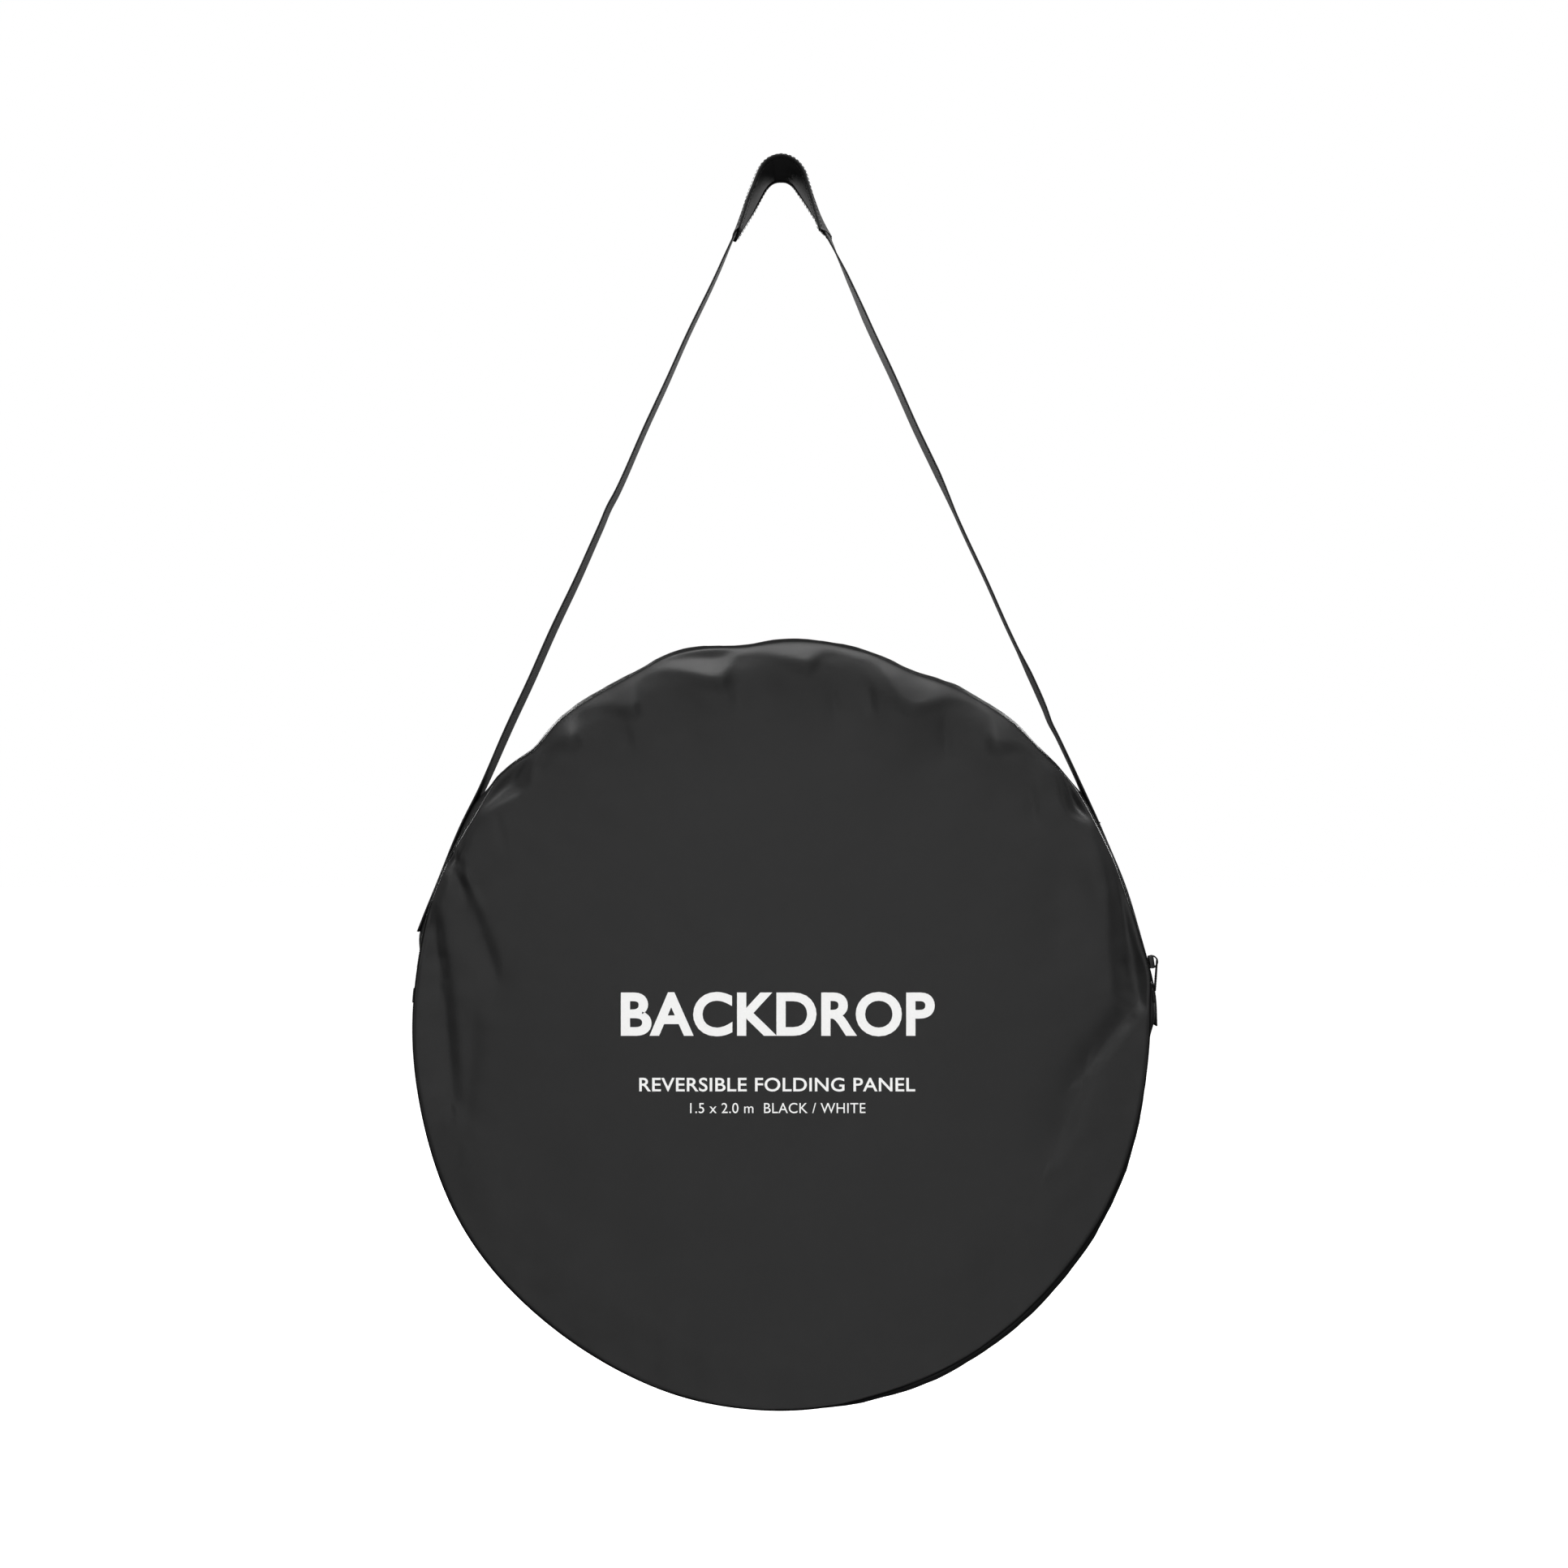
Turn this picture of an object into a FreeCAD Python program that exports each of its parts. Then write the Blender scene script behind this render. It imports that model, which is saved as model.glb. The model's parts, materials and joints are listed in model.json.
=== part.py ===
import FreeCAD, Part
import math
import os
import Sketcher
from FreeCAD import Placement, Rotation, Vector

# A collapsible backdrop panel, twisted down to its three coils and zipped into its round shoulder bag.
# X is to the right, Y runs from the printed front to the rear, and Z is up.
# The origin is the hang point: the underside of the shoulder pad, at the top of the strap's loop.
# A clock angle is measured about the bag's centre, from the top towards +X.

# Driving sizes, in millimetres and degrees.
size = {
    # the folded panel: a sprung band in a sleeve, in three coils, with its two cloths gathered inside
    "coil_radius": 330.0,
    "coil_spread": 14.0,
    "coil_stagger": 5.0,
    "band_wall": 1.0,
    "band_width": 7.0,
    "sleeve_wall": 0.8,
    "sleeve_room": 1.2,
    "ferrule_length": 24.0,
    "ferrule_wall": 0.5,
    "ferrule_room": 0.8,
    "cloth_gap": 2.5,
    "cloth_stack": 6.0,
    "cloth_space": 0.6,
    # the bag
    "bag_drop": 799.0,
    "bag_play": 8.6,
    "bag_wall": 1.0,
    "rear_room": 0.5,
    "rear_margin": 3.0,
    "mouth_rise": 42.0,
    "mouth_gap_up": 0.4,
    "mouth_gap_down": 1.0,
    "piping_radius": 1.3,
    # the zip round the mouth
    "zip_end_rise": 3.7,
    "lower_end_drop": 5.4,
    "slider_rest_turn": 2.0,
    "zip_margin": 5.0,
    "front_margin": 10.0,
    "strip_gap": 0.3,
    "tape_wall": 0.6,
    "tape_reach": 9.0,
    "teeth_gap": 1.6,
    "teeth_width": 2.4,
    "teeth_rise": 2.5,
    "slider_length": 12.0,
    "slider_plate": 1.2,
    "slider_room": 0.6,
    "wedge_room": 0.3,
    "arch_length": 8.0,
    "arch_width": 2.8,
    "arch_rise": 4.0,
    "arch_wall": 1.4,
    "pull_length": 30.0,
    "pull_width": 8.0,
    "pull_wall": 1.4,
    "pull_lean": 5.0,
    "end_tab_wall": 1.2,
    "end_tab_turn": 2.4,
    # the strap
    "webbing_width": 38.0,
    "webbing_wall": 1.6,
    "depart_clock": 52.0,
    "tail_left_clock": 75.0,
    "tail_right_clock": 89.0,
    "flex_length": 50.0,
    "flex_gap": 0.4,
    "patch_turn": 4.0,
    "patch_wall": 1.2,
    "loop_radius": 22.0,
    "pad_width": 70.0,
    "pad_leg": 49.0,
    "pad_hem": 3.0,
    "foam_wall": 3.0,
    "pad_cloth_wall": 0.8,
    # bar tacks and the clearance between layers that lie on each other
    "tack_length": 1.6,
    "tack_wall": 0.4,
    "tack_inset": 4.0,
    "layer_gap": 0.2,
    "skin_gap": 0.05,
    # the blank care label and the print, whose lines are (left, foot above the centre, length, height)
    "label_length": 32.0,
    "label_height": 46.0,
    "label_wall": 0.4,
    "ink_wall": 0.2,
}
printLines = ((-150, -11, 290, 41), (-133, -62, 255, 13), (-86, -82, 162, 10))
labelCorner = (-190, -216)


def clockAtHeight(height, radius):
    """The clock angle at which a circle about the bag's centre has come down to a height."""
    return math.degrees(math.acos(height / radius))


def derive(s):
    """Add the sizes that follow from the driving ones."""
    s["ferrule_bore"] = s["band_wall"] + s["ferrule_room"]
    s["ferrule_deep"] = s["ferrule_bore"] + 2 * s["ferrule_wall"]
    s["ferrule_wide"] = s["band_width"] + s["ferrule_room"] + 2 * s["ferrule_wall"]
    s["sleeve_bore_deep"] = s["band_wall"] + 2 * s["ferrule_wall"] + s["sleeve_room"]
    s["sleeve_bore_wide"] = s["band_width"] + 2 * s["ferrule_wall"] + s["sleeve_room"]
    s["sleeve_deep"] = s["sleeve_bore_deep"] + 2 * s["sleeve_wall"]
    s["sleeve_wide"] = s["sleeve_bore_wide"] + 2 * s["sleeve_wall"]
    s["stack_half"] = s["coil_spread"] + s["sleeve_wide"] / 2
    s["cloth_radius"] = s["coil_radius"] - s["coil_stagger"] - s["sleeve_deep"] / 2 - s["cloth_gap"]
    s["bag_inner"] = s["coil_radius"] + s["coil_stagger"] + s["sleeve_deep"] / 2 + s["bag_play"]
    s["bag_radius"] = s["bag_inner"] + s["bag_wall"]
    s["strap_edge"] = s["webbing_width"] / 2
    s["rear_face"] = s["strap_edge"] + s["rear_margin"]
    s["rear_inner"] = s["rear_face"] - s["bag_wall"]
    s["panel_middle"] = s["rear_inner"] - s["rear_room"] - s["stack_half"]
    s["zip_line"] = -s["strap_edge"] - s["zip_margin"]
    s["front_face"] = s["zip_line"] - s["front_margin"]
    s["front_inner"] = s["front_face"] + s["bag_wall"]
    s["zip_end_clock"] = clockAtHeight(s["mouth_rise"] + s["zip_end_rise"], s["bag_radius"])
    s["lower_end_clock"] = clockAtHeight(s["mouth_rise"] - s["lower_end_drop"], s["bag_radius"])
    s["slider_clock"] = s["zip_end_clock"] - s["slider_rest_turn"]
    s["strip_reach"] = s["teeth_gap"] / 2 + s["teeth_width"] + s["strip_gap"]
    s["teeth_base"] = s["bag_inner"] - s["layer_gap"]
    s["outer_plate"] = s["teeth_base"] + s["teeth_rise"] + s["slider_room"]
    s["plate_top"] = s["outer_plate"] + s["slider_plate"]
    s["inner_plate"] = s["teeth_base"] - s["tape_wall"] - s["slider_room"] - s["slider_plate"]
    s["plate_width"] = 2 * s["zip_margin"] - 1
    s["pivot_rise"] = s["plate_top"] + s["arch_rise"] / 2 - s["layer_gap"] * 2
    s["tail_inner"] = s["bag_radius"] + s["layer_gap"]
    s["tail_outer"] = s["tail_inner"] + s["webbing_wall"]
    s["foam_start"] = s["pad_cloth_wall"] + s["layer_gap"]
    s["webbing_start"] = s["foam_start"] + s["foam_wall"] + s["layer_gap"]
    s["cover_start"] = s["webbing_start"] + s["webbing_wall"] + s["layer_gap"]
    s["cover_top"] = s["cover_start"] + s["pad_cloth_wall"]


def deriveLegs(s):
    """Each leg of the strap is the tangent from where it leaves the bag to the arc over the top."""
    start = onClock(s["depart_clock"], s["tail_inner"] + s["webbing_wall"] / 2)
    arcRadius = s["loop_radius"] + s["webbing_start"] + s["webbing_wall"] / 2
    fall = -s["loop_radius"] - start.z
    reach = math.hypot(start.x, fall)
    s["leg_lean"] = math.degrees(math.atan2(start.x, fall) - math.asin(arcRadius / reach))
    s["leg_length"] = math.sqrt(reach ** 2 - arcRadius ** 2) - s["flex_length"] - 2 * s["flex_gap"]
    return start


def clockWay(clock):
    """The outward direction at a clock angle."""
    return Vector(math.sin(math.radians(clock)), 0, math.cos(math.radians(clock)))


def onClock(clock, radius, depth=0.0):
    """A point about the bag's centre."""
    return Vector(0, depth, -size["bag_drop"]) + clockWay(clock) * radius


derive(size)
depart = deriveLegs(size)
leanAngle = math.radians(size["leg_lean"])

doc = FreeCAD.newDocument("collapsible_backdrop_panel")
sheet = doc.addObject("Spreadsheet::Sheet", "Sizes")
for row, (name, value) in enumerate(size.items(), start=1):
    sheet.set(f"A{row}", name)
    sheet.set(f"B{row}", repr(value))
    sheet.setAlias(f"B{row}", name)
doc.recompute()

nodes = []


def cells(expression):
    """An expression of size names, with each name read from the sheet."""
    words = expression.split()
    return " ".join("Sizes." + word if word in size else word for word in words)


def valueOf(expression):
    """What such an expression comes to now."""
    return float(sheet.evalExpression(cells(expression)))


def bind(item, **expressions):
    """Bind properties, with __ for a dot in their path, to expressions of size names."""
    for path, expression in expressions.items():
        item.setExpression(path.replace("__", "."), cells(expression))
    return item


def keep(item, label):
    """Name a finished sub-part and add it to those that are written."""
    item.Label = label
    nodes.append(item)
    return item


def solid(kind, label, **expressions):
    return bind(doc.addObject(kind, label), **expressions)


def joined(kind, label, first, second):
    piece = doc.addObject(kind, label)
    piece.Base, piece.Tool = first, second
    return piece


def fused(label, shapes):
    piece = doc.addObject("Part::MultiFuse", label)
    piece.Shapes = shapes
    return piece


# Round pieces about the bag's axis

def alongBagAxis(clock):
    """A turn that lays a primitive's own Z along +Y, with its X at a clock angle."""
    return Rotation(Vector(1, 0, 0), -90) * Rotation(Vector(0, 0, 1), clock - 90)


def onBagAxis(piece, near, clock):
    piece.Placement = Placement(Vector(0, 0, 0), alongBagAxis(clock))
    return bind(piece, Placement__Base__y=near, Placement__Base__z="-1 * bag_drop")


def drum(label, radius, near, deep, clock=0.0, sweep="360"):
    """A cylinder, or a wedge of one, on the bag's axis from the depth `near`."""
    piece = solid("Part::Cylinder", label, Radius=radius, Height=deep, Angle=sweep)
    return onBagAxis(piece, near, clock)


def ring(label, outer, inner, near, deep, clock=0.0, sweep="360"):
    """A flat band bent about the bag's axis."""
    band = drum(label + "_outside", outer, near, deep, clock, sweep)
    bore = drum(label + "_bore", inner, f"{near} - 1", f"{deep} + 2")
    return joined("Part::Cut", label, band, bore)


def piping(label, near, clock=0.0, sweep="360"):
    """A corded seam, round or along an arc, just outside the gusset."""
    cord = solid("Part::Torus", label, Radius1="bag_radius + piping_radius + layer_gap / 2",
                 Radius2="piping_radius", Angle3=sweep)
    return keep(onBagAxis(cord, near, clock), label)


upperArc = {"clock": -size["zip_end_clock"], "sweep": "2 * zip_end_clock"}
lowerArc = {"clock": size["lower_end_clock"], "sweep": "360 - 2 * lower_end_clock"}

# The bag's shell

keep(drum("rear_panel", "bag_radius", "rear_inner", "bag_wall"), "rear_panel")


def frontCloth(label, lowest):
    """The front panel on one side of the mouth's fold line."""
    disc = drum(label + "_disc", "bag_radius", "front_face", "bag_wall")
    side = solid("Part::Box", label + "_side", Length="2 * bag_radius + 2", Width="bag_wall + 2",
                 Height="2 * bag_radius", Placement__Base__x="-1 * bag_radius - 1",
                 Placement__Base__y="front_face - 1", Placement__Base__z=lowest)
    return keep(joined("Part::Common", label, disc, side), label)


frontCloth("front_panel_lower", "mouth_rise - bag_drop - mouth_gap_down - 2 * bag_radius")
frontCloth("front_panel_upper", "mouth_rise - bag_drop + mouth_gap_up")

gussets = {
    "rear_gusset_strip": ("zip_line + strip_reach", "rear_inner - zip_line - strip_reach", upperArc),
    "front_gusset_strip": ("front_inner", "zip_line - strip_reach - front_inner", upperArc),
    "lower_gusset": ("front_inner", "rear_inner - front_inner", lowerArc),
}
for name, (near, deep, arc) in gussets.items():
    keep(ring(name, "bag_radius", "bag_inner", near, deep, **arc), name)

piping("rear_piping", "rear_face - piping_radius")
piping("front_piping_lower", "front_face + piping_radius", **lowerArc)
piping("front_piping_upper", "front_face + piping_radius", **upperArc)

# The zip round the mouth: two tapes, two rows of teeth, and a square over each end

frontTapeDepth = "zip_line - teeth_gap / 2 - front_inner - layer_gap / 2"
zipTapes = {
    "front_zip_tape": ("front_inner + layer_gap / 2", frontTapeDepth),
    "rear_zip_tape": ("zip_line + teeth_gap / 2", "tape_reach"),
}
zipCoils = {
    "front_zip_coil": "zip_line - teeth_gap / 2 - teeth_width",
    "rear_zip_coil": "zip_line + teeth_gap / 2",
}
for name, (near, deep) in zipTapes.items():
    keep(ring(name, "teeth_base", "teeth_base - tape_wall", near, deep, **upperArc), name)
for name, near in zipCoils.items():
    coil = ring(name, "teeth_base + teeth_rise", "teeth_base + skin_gap", near, "teeth_width", **upperArc)
    keep(coil, name)

endTabs = [
    ring(f"zip_end_tab_{way}", "tail_inner + end_tab_wall", "tail_inner", "front_inner + 2 * piping_radius",
         "-1 * strap_edge - 2 * layer_gap - front_inner - 2 * piping_radius", clock, "end_tab_turn")
    for way, clock in (("left", -size["lower_end_clock"] - size["layer_gap"] - size["end_tab_turn"]),
                       ("right", size["lower_end_clock"] + size["layer_gap"]))
]
keep(fused("zip_end_tabs", endTabs), "zip_end_tabs")

# The slider is drawn at the top of the bag, outwards along Z, and turned to its rest place


def zipBox(label, length, width, height, foot, middle="0"):
    """A box centred over the zip's line, from a height above the bag's centre."""
    return solid("Part::Box", label, Length=length, Width=width, Height=height,
                 Placement__Base__x=f"{middle} - ( {length} ) / 2",
                 Placement__Base__y=f"zip_line - ( {width} ) / 2", Placement__Base__z=foot)


sliderBlocks = fused("slider_blocks", [
    zipBox("slider_outer_plate", "slider_length", "plate_width", "slider_plate", "outer_plate"),
    zipBox("slider_inner_plate", "slider_length", "plate_width", "slider_plate", "inner_plate"),
    zipBox("slider_wedge", "slider_length / 3", "teeth_gap - 2 * wedge_room", "plate_top - inner_plate",
           "inner_plate", "-1 * slider_length / 6"),
    zipBox("slider_arch", "arch_length", "arch_width", "arch_rise + slider_plate / 2",
           "plate_top - slider_plate / 2"),
])
archWindow = zipBox("slider_arch_window", "arch_length - 2 * arch_wall", "arch_width + 2",
                    "arch_rise - arch_wall", "plate_top + layer_gap")
slider = keep(joined("Part::Cut", "zip_slider", sliderBlocks, archWindow), "zip_slider")
slider.Placement = Placement(onClock(0, 0), Rotation(Vector(0, 1, 0), size["slider_clock"]))


# Sketched pieces

def sketchOn(body, label, role):
    drawing = body.newObject("Sketcher::SketchObject", label)
    plane = next(plane for plane in body.Origin.OriginFeatures if plane.Role == role)
    drawing.AttachmentSupport = [(plane, "")]
    drawing.MapMode = "FlatFace"
    return drawing


def dimension(drawing, name, expression, kind, *ends):
    """Add a dimension to a sketch and bind it to the sheet."""
    index = drawing.addConstraint(Sketcher.Constraint(kind, *ends, valueOf(expression)))
    drawing.renameConstraint(index, name)
    drawing.setExpression(f"Constraints.{name}", cells(expression))


def rectangle(drawing, prefix, left, low, length, height):
    """A rectangle from its lower left corner, each size an expression of the sheet's sizes."""
    x, y, across, up = (valueOf(text) for text in (left, low, length, height))
    corners = [Vector(x, y, 0), Vector(x + across, y, 0), Vector(x + across, y + up, 0), Vector(x, y + up, 0)]
    first = drawing.GeometryCount
    relate = Sketcher.Constraint
    for begin, end in zip(corners, corners[1:] + corners[:1]):
        drawing.addGeometry(Part.LineSegment(begin, end), False)
    for i, way in enumerate(("Horizontal", "Vertical", "Horizontal", "Vertical")):
        drawing.addConstraint(relate("Coincident", first + i, 2, first + (i + 1) % 4, 1))
        drawing.addConstraint(relate(way, first + i))
    dimension(drawing, prefix + "_left", left, "DistanceX", -1, 1, first, 1)
    dimension(drawing, prefix + "_low", low, "DistanceY", -1, 1, first, 1)
    dimension(drawing, prefix + "_length", length, "DistanceX", first, 1, first, 2)
    dimension(drawing, prefix + "_height", height, "DistanceY", first + 1, 1, first + 1, 2)


def thicken(body, drawing, thickness):
    """Pad a sketch by the same amount on both sides of its plane."""
    feature = body.newObject("PartDesign::Pad", body.Name + "_pad")
    feature.Profile = drawing
    feature.SideType = "Symmetric"
    return bind(feature, Length=thickness)


def loopLayer(label, start, wall, width, leg):
    """A layer that runs over the top of the loop and down both legs.

    `start` is how far its underside lies outside the loop's inner face, and `leg` is how far it
    follows each straight leg below the arc.
    """
    body = doc.addObject("PartDesign::Body", label)
    drawing = sketchOn(body, label + "_outline", "XZ_Plane")
    centre = Vector(0, -size["loop_radius"], 0)
    inside, outside = f"loop_radius + {start}", f"loop_radius + {start} + {wall}"
    for radius in (inside, outside):
        circle = Part.Circle(centre, Vector(0, 0, 1), valueOf(radius))
        drawing.addGeometry(Part.ArcOfCircle(circle, leanAngle, math.pi - leanAngle), False)
    for side in (1, -1):
        outwards = Vector(side * math.cos(leanAngle), math.sin(leanAngle), 0)
        down = Vector(side * math.sin(leanAngle), -math.cos(leanAngle), 0)
        for radius in (inside, outside):
            top = centre + outwards * valueOf(radius)
            drawing.addGeometry(Part.LineSegment(top, top + down * valueOf(leg)), False)
    for first in (2, 4):
        ends = drawing.Geometry[first].EndPoint, drawing.Geometry[first + 1].EndPoint
        drawing.addGeometry(Part.LineSegment(*ends), False)
    relate = Sketcher.Constraint
    drawing.addConstraint([
        relate("Coincident", 0, 3, 1, 3), relate("PointOnObject", 0, 3, -2),
        relate("Tangent", 0, 1, 2, 1), relate("Tangent", 1, 1, 3, 1),
        relate("Tangent", 0, 2, 4, 1), relate("Tangent", 1, 2, 5, 1),
        relate("Coincident", 2, 2, 6, 1), relate("Coincident", 3, 2, 6, 2),
        relate("Coincident", 4, 2, 7, 1), relate("Coincident", 5, 2, 7, 2),
        relate("Perpendicular", 6, 2), relate("Perpendicular", 7, 4),
        relate("Symmetric", 2, 2, 4, 2, -2),
        relate("Angle", 2, leanAngle - math.pi / 2),
    ])
    drawing.renameConstraint(drawing.ConstraintCount - 1, "lean")
    drawing.setExpression("Constraints.lean", "Sizes.leg_lean * 1 deg - 90 deg")
    dimension(drawing, "centre", "loop_radius", "DistanceY", 0, 3, -1, 1)
    dimension(drawing, "inside", inside, "Radius", 0)
    dimension(drawing, "outside", outside, "Radius", 1)
    dimension(drawing, "leg", leg, "Distance", 2)
    thicken(body, drawing, width)
    return keep(body, label)


# The strap's loop and the pad over its top

loopLayer("strap_webbing", "webbing_start", "webbing_wall", "webbing_width", "leg_length")
loopLayer("pad_lining", "0", "pad_cloth_wall", "pad_width", "pad_leg")
loopLayer("pad_foam", "foam_start", "foam_wall", "pad_width - 2 * pad_hem", "pad_leg - pad_hem")
loopLayer("pad_cover", "cover_start", "pad_cloth_wall", "pad_width", "pad_leg")

# The strap at the bag: a tail sewn round the rim, a stretch that bends, and a patch behind

across = Vector(0, 1, 0)
patches = []
for way, side, firstClock, patchClock in (
    ("left", -1, -size["tail_left_clock"], -size["depart_clock"] - size["patch_turn"]),
    ("right", 1, size["depart_clock"], size["depart_clock"]),
):
    tail = ring(f"strap_tail_{way}", "tail_outer", "tail_inner", "-1 * strap_edge", "webbing_width",
                firstClock, f"tail_{way}_clock - depart_clock")
    keep(tail, f"strap_tail_{way}")
    along = Vector(-side * math.sin(leanAngle), 0, math.cos(leanAngle))
    outwards = along.cross(across)
    foot = Vector(side * depart.x, 0, depart.z) + along * size["flex_gap"]
    corner = foot - outwards * (size["webbing_wall"] / 2) - across * size["strap_edge"]
    stretch = solid("Part::Box", f"strap_flex_{way}", Length="flex_length", Width="webbing_width",
                    Height="webbing_wall")
    stretch.Placement = Placement(corner, Rotation(along, across, outwards, "XYZ"))
    keep(stretch, f"strap_flex_{way}")
    patches.append(ring(f"anchor_patch_{way}", "teeth_base", "teeth_base - patch_wall",
                        "zip_line + teeth_gap / 2 + tape_reach + layer_gap * 2",
                        "strap_edge - zip_line - teeth_gap / 2 - tape_reach - layer_gap * 2",
                        patchClock, "patch_turn"))
keep(fused("anchor_patches", patches), "anchor_patches")


def tackBars(label, places, width):
    """Bars of stitching, each lying across the webbing at a place, with its outward direction."""
    bars = []
    halfBar = size["tack_length"] / 2
    halfWidth = valueOf(width) / 2
    for index, (place, outwards) in enumerate(places):
        bar = solid("Part::Box", f"{label}_{index}", Length="tack_length", Width=width, Height="tack_wall")
        along = across.cross(outwards)
        corner = place + outwards * size["skin_gap"] - along * halfBar - across * halfWidth
        bar.Placement = Placement(corner, Rotation(along, across, outwards, "XYZ"))
        bars.append(bar)
    return keep(fused(label, bars), label)


def onLeg(side, down, lift):
    """A place on a leg of the loop, `down` below the arc and `lift` outside the inner face."""
    outwards = Vector(side * math.cos(leanAngle), 0, math.sin(leanAngle))
    slope = Vector(side * math.sin(leanAngle), 0, -math.cos(leanAngle))
    return Vector(0, 0, -size["loop_radius"]) + outwards * (size["loop_radius"] + lift) + slope * down, outwards


tackTurn = math.degrees(size["tack_inset"] / size["tail_outer"])
tackClocks = [way * clock for way, end in ((-1, size["tail_left_clock"]), (1, size["tail_right_clock"]))
              for clock in (size["depart_clock"] + tackTurn, end - tackTurn)]
tackBars("anchor_stitching", [(onClock(clock, size["tail_outer"]), clockWay(clock)) for clock in tackClocks],
         "webbing_width - tack_inset")
padTacks = []
for side in (-1, 1):
    down = size["pad_leg"] - size["tack_inset"]
    padTacks.append(onLeg(side, down, size["cover_top"]))
    underside, outwards = onLeg(side, down, 0)
    padTacks.append((underside, outwards * -1))
tackBars("pad_stitching", padTacks, "pad_width - 2 * tack_inset")

# The pull hangs from a bar that its slot leaves, inside the slider's arch

pull = doc.addObject("PartDesign::Body", "pull_tab")
pullOutline = sketchOn(pull, "pull_outline", "XY_Plane")
rectangle(pullOutline, "tab", "-1 * pull_wall / 2", "-1 * pull_width / 2", "pull_length", "pull_width")
thicken(pull, pullOutline, "pull_wall")
slotOutline = sketchOn(pull, "pull_slot_outline", "XY_Plane")
rectangle(slotOutline, "slot", "pull_wall / 2", "-1 * arch_width / 2 - wedge_room * 2",
          "arch_length / 2 + pull_wall", "arch_width + wedge_room * 4")
slot = pull.newObject("PartDesign::Pocket", "pull_slot")
slot.Profile = slotOutline
slot.SideType = "Symmetric"
bind(slot, Length="pull_wall * 3")
pivot = onClock(size["slider_clock"], size["pivot_rise"], size["zip_line"])
pull.Placement = Placement(pivot, Rotation(across, size["slider_clock"] + size["pull_lean"]))
keep(pull, "pull_tab")

# The folded panel

turns = 3
cornersPerTurn = 8
cornerAngle = 2 * math.pi / cornersPerTurn
arcShare = 0.49
endGap = 0.4


def coilCorner(angle):
    """A corner of the polygon about the coiled hoop, which closes on itself after its turns."""
    phase = angle / turns
    radius = (size["coil_radius"] + size["coil_stagger"] * math.cos(phase)) / math.cos(cornerAngle / 2)
    depth = size["panel_middle"] + size["coil_spread"] * math.sin(phase)
    return onClock(math.degrees(angle), radius, depth)


def roundedPath(points):
    """Straight runs joined by tangent arcs as large as the runs allow. The end runs are half runs."""
    edges, at = [], points[0]
    for before, corner, after in zip(points, points[1:], points[2:]):
        back, ahead = before - corner, after - corner
        backReach = back.Length * (2 if before is points[0] else 1)
        aheadReach = ahead.Length * (2 if after is points[-1] else 1)
        trim = arcShare * min(backReach, aheadReach)
        back.normalize()
        ahead.normalize()
        half = back.getAngle(ahead) / 2
        first, last = corner + back * trim, corner + ahead * trim
        towards = (back + ahead).normalize()
        middle = corner + towards * (trim / math.cos(half) - trim * math.tan(half))
        edges += [Part.LineSegment(at, first).toShape(), Part.Arc(first, middle, last).toShape()]
        at = last
    edges.append(Part.LineSegment(at, points[-1]).toShape())
    return Part.Wire(edges)


corners = [coilCorner(cornerAngle * (k + 0.5)) for k in range(-1, turns * cornersPerTurn + 1)]
seam = (corners[0] + corners[1]) / 2
seamWay = (corners[1] - corners[0]).normalize()
seamOut = seamWay.cross(across).normalize()
seamSide = seamOut.cross(seamWay).normalize()
coilPath = roundedPath([seam + seamWay * endGap] + corners[1:-1] + [seam - seamWay * endGap])


def coilPipe(deep, wide):
    """A flat section carried along the coiled hoop, its width kept along the bag's depth."""
    start = seam + seamWay * endGap
    outline = [start + seamOut * (deep / 2 * i) + seamSide * (wide / 2 * j)
               for i, j in ((1, 1), (1, -1), (-1, -1), (-1, 1))]
    maker = Part.BRepOffsetAPI.MakePipeShell(coilPath)
    maker.setBiNormalMode(across)
    maker.add(Part.makePolygon(outline + outline[:1]))
    maker.build()
    maker.makeSolid()
    return maker.shape()


def coiledFeature(label, shape):
    item = doc.addObject("Part::Feature", label)
    item.Shape = shape
    item.Placement = Placement()
    return keep(item, label)


band = coilPipe(size["band_wall"], size["band_width"])
expected = coilPath.Length * size["band_wall"] * size["band_width"]
print("hoop band", round(coilPath.Length, 1), "mm long, volume over section x length", band.Volume / expected)
coiledFeature("hoop_band", band)
sleeveOutside = coilPipe(size["sleeve_deep"], size["sleeve_wide"])
sleeveBore = coilPipe(size["sleeve_bore_deep"], size["sleeve_bore_wide"])
coiledFeature("hoop_sleeve", sleeveOutside.cut(sleeveBore))


def ferruleBlock(label, length, wide, deep):
    """A block centred on the band's two ends, in line with them."""
    block = solid("Part::Box", label, Length=length, Width=wide, Height=deep)
    middle = Vector(-valueOf(length) / 2, -valueOf(wide) / 2, -valueOf(deep) / 2)
    frame = Placement(seam, Rotation(seamWay, seamSide * -1, seamOut * -1, "XYZ"))
    block.Placement = frame.multiply(Placement(middle, Rotation()))
    return block


keep(joined("Part::Cut", "hoop_ferrule",
            ferruleBlock("ferrule_outside", "ferrule_length", "ferrule_wide", "ferrule_deep"),
            ferruleBlock("ferrule_hole", "ferrule_length + 2", "band_width + ferrule_room", "ferrule_bore")),
     "hoop_ferrule")

clothPlaces = {
    "black_cloth": "panel_middle - cloth_space / 2 - cloth_stack",
    "white_cloth": "panel_middle + cloth_space / 2",
}
for name, near in clothPlaces.items():
    keep(drum(name, "cloth_radius", near, "cloth_stack"), name)

# The blank care label inside the front cloth, and a plain bar of ink for each line of the print

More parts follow.
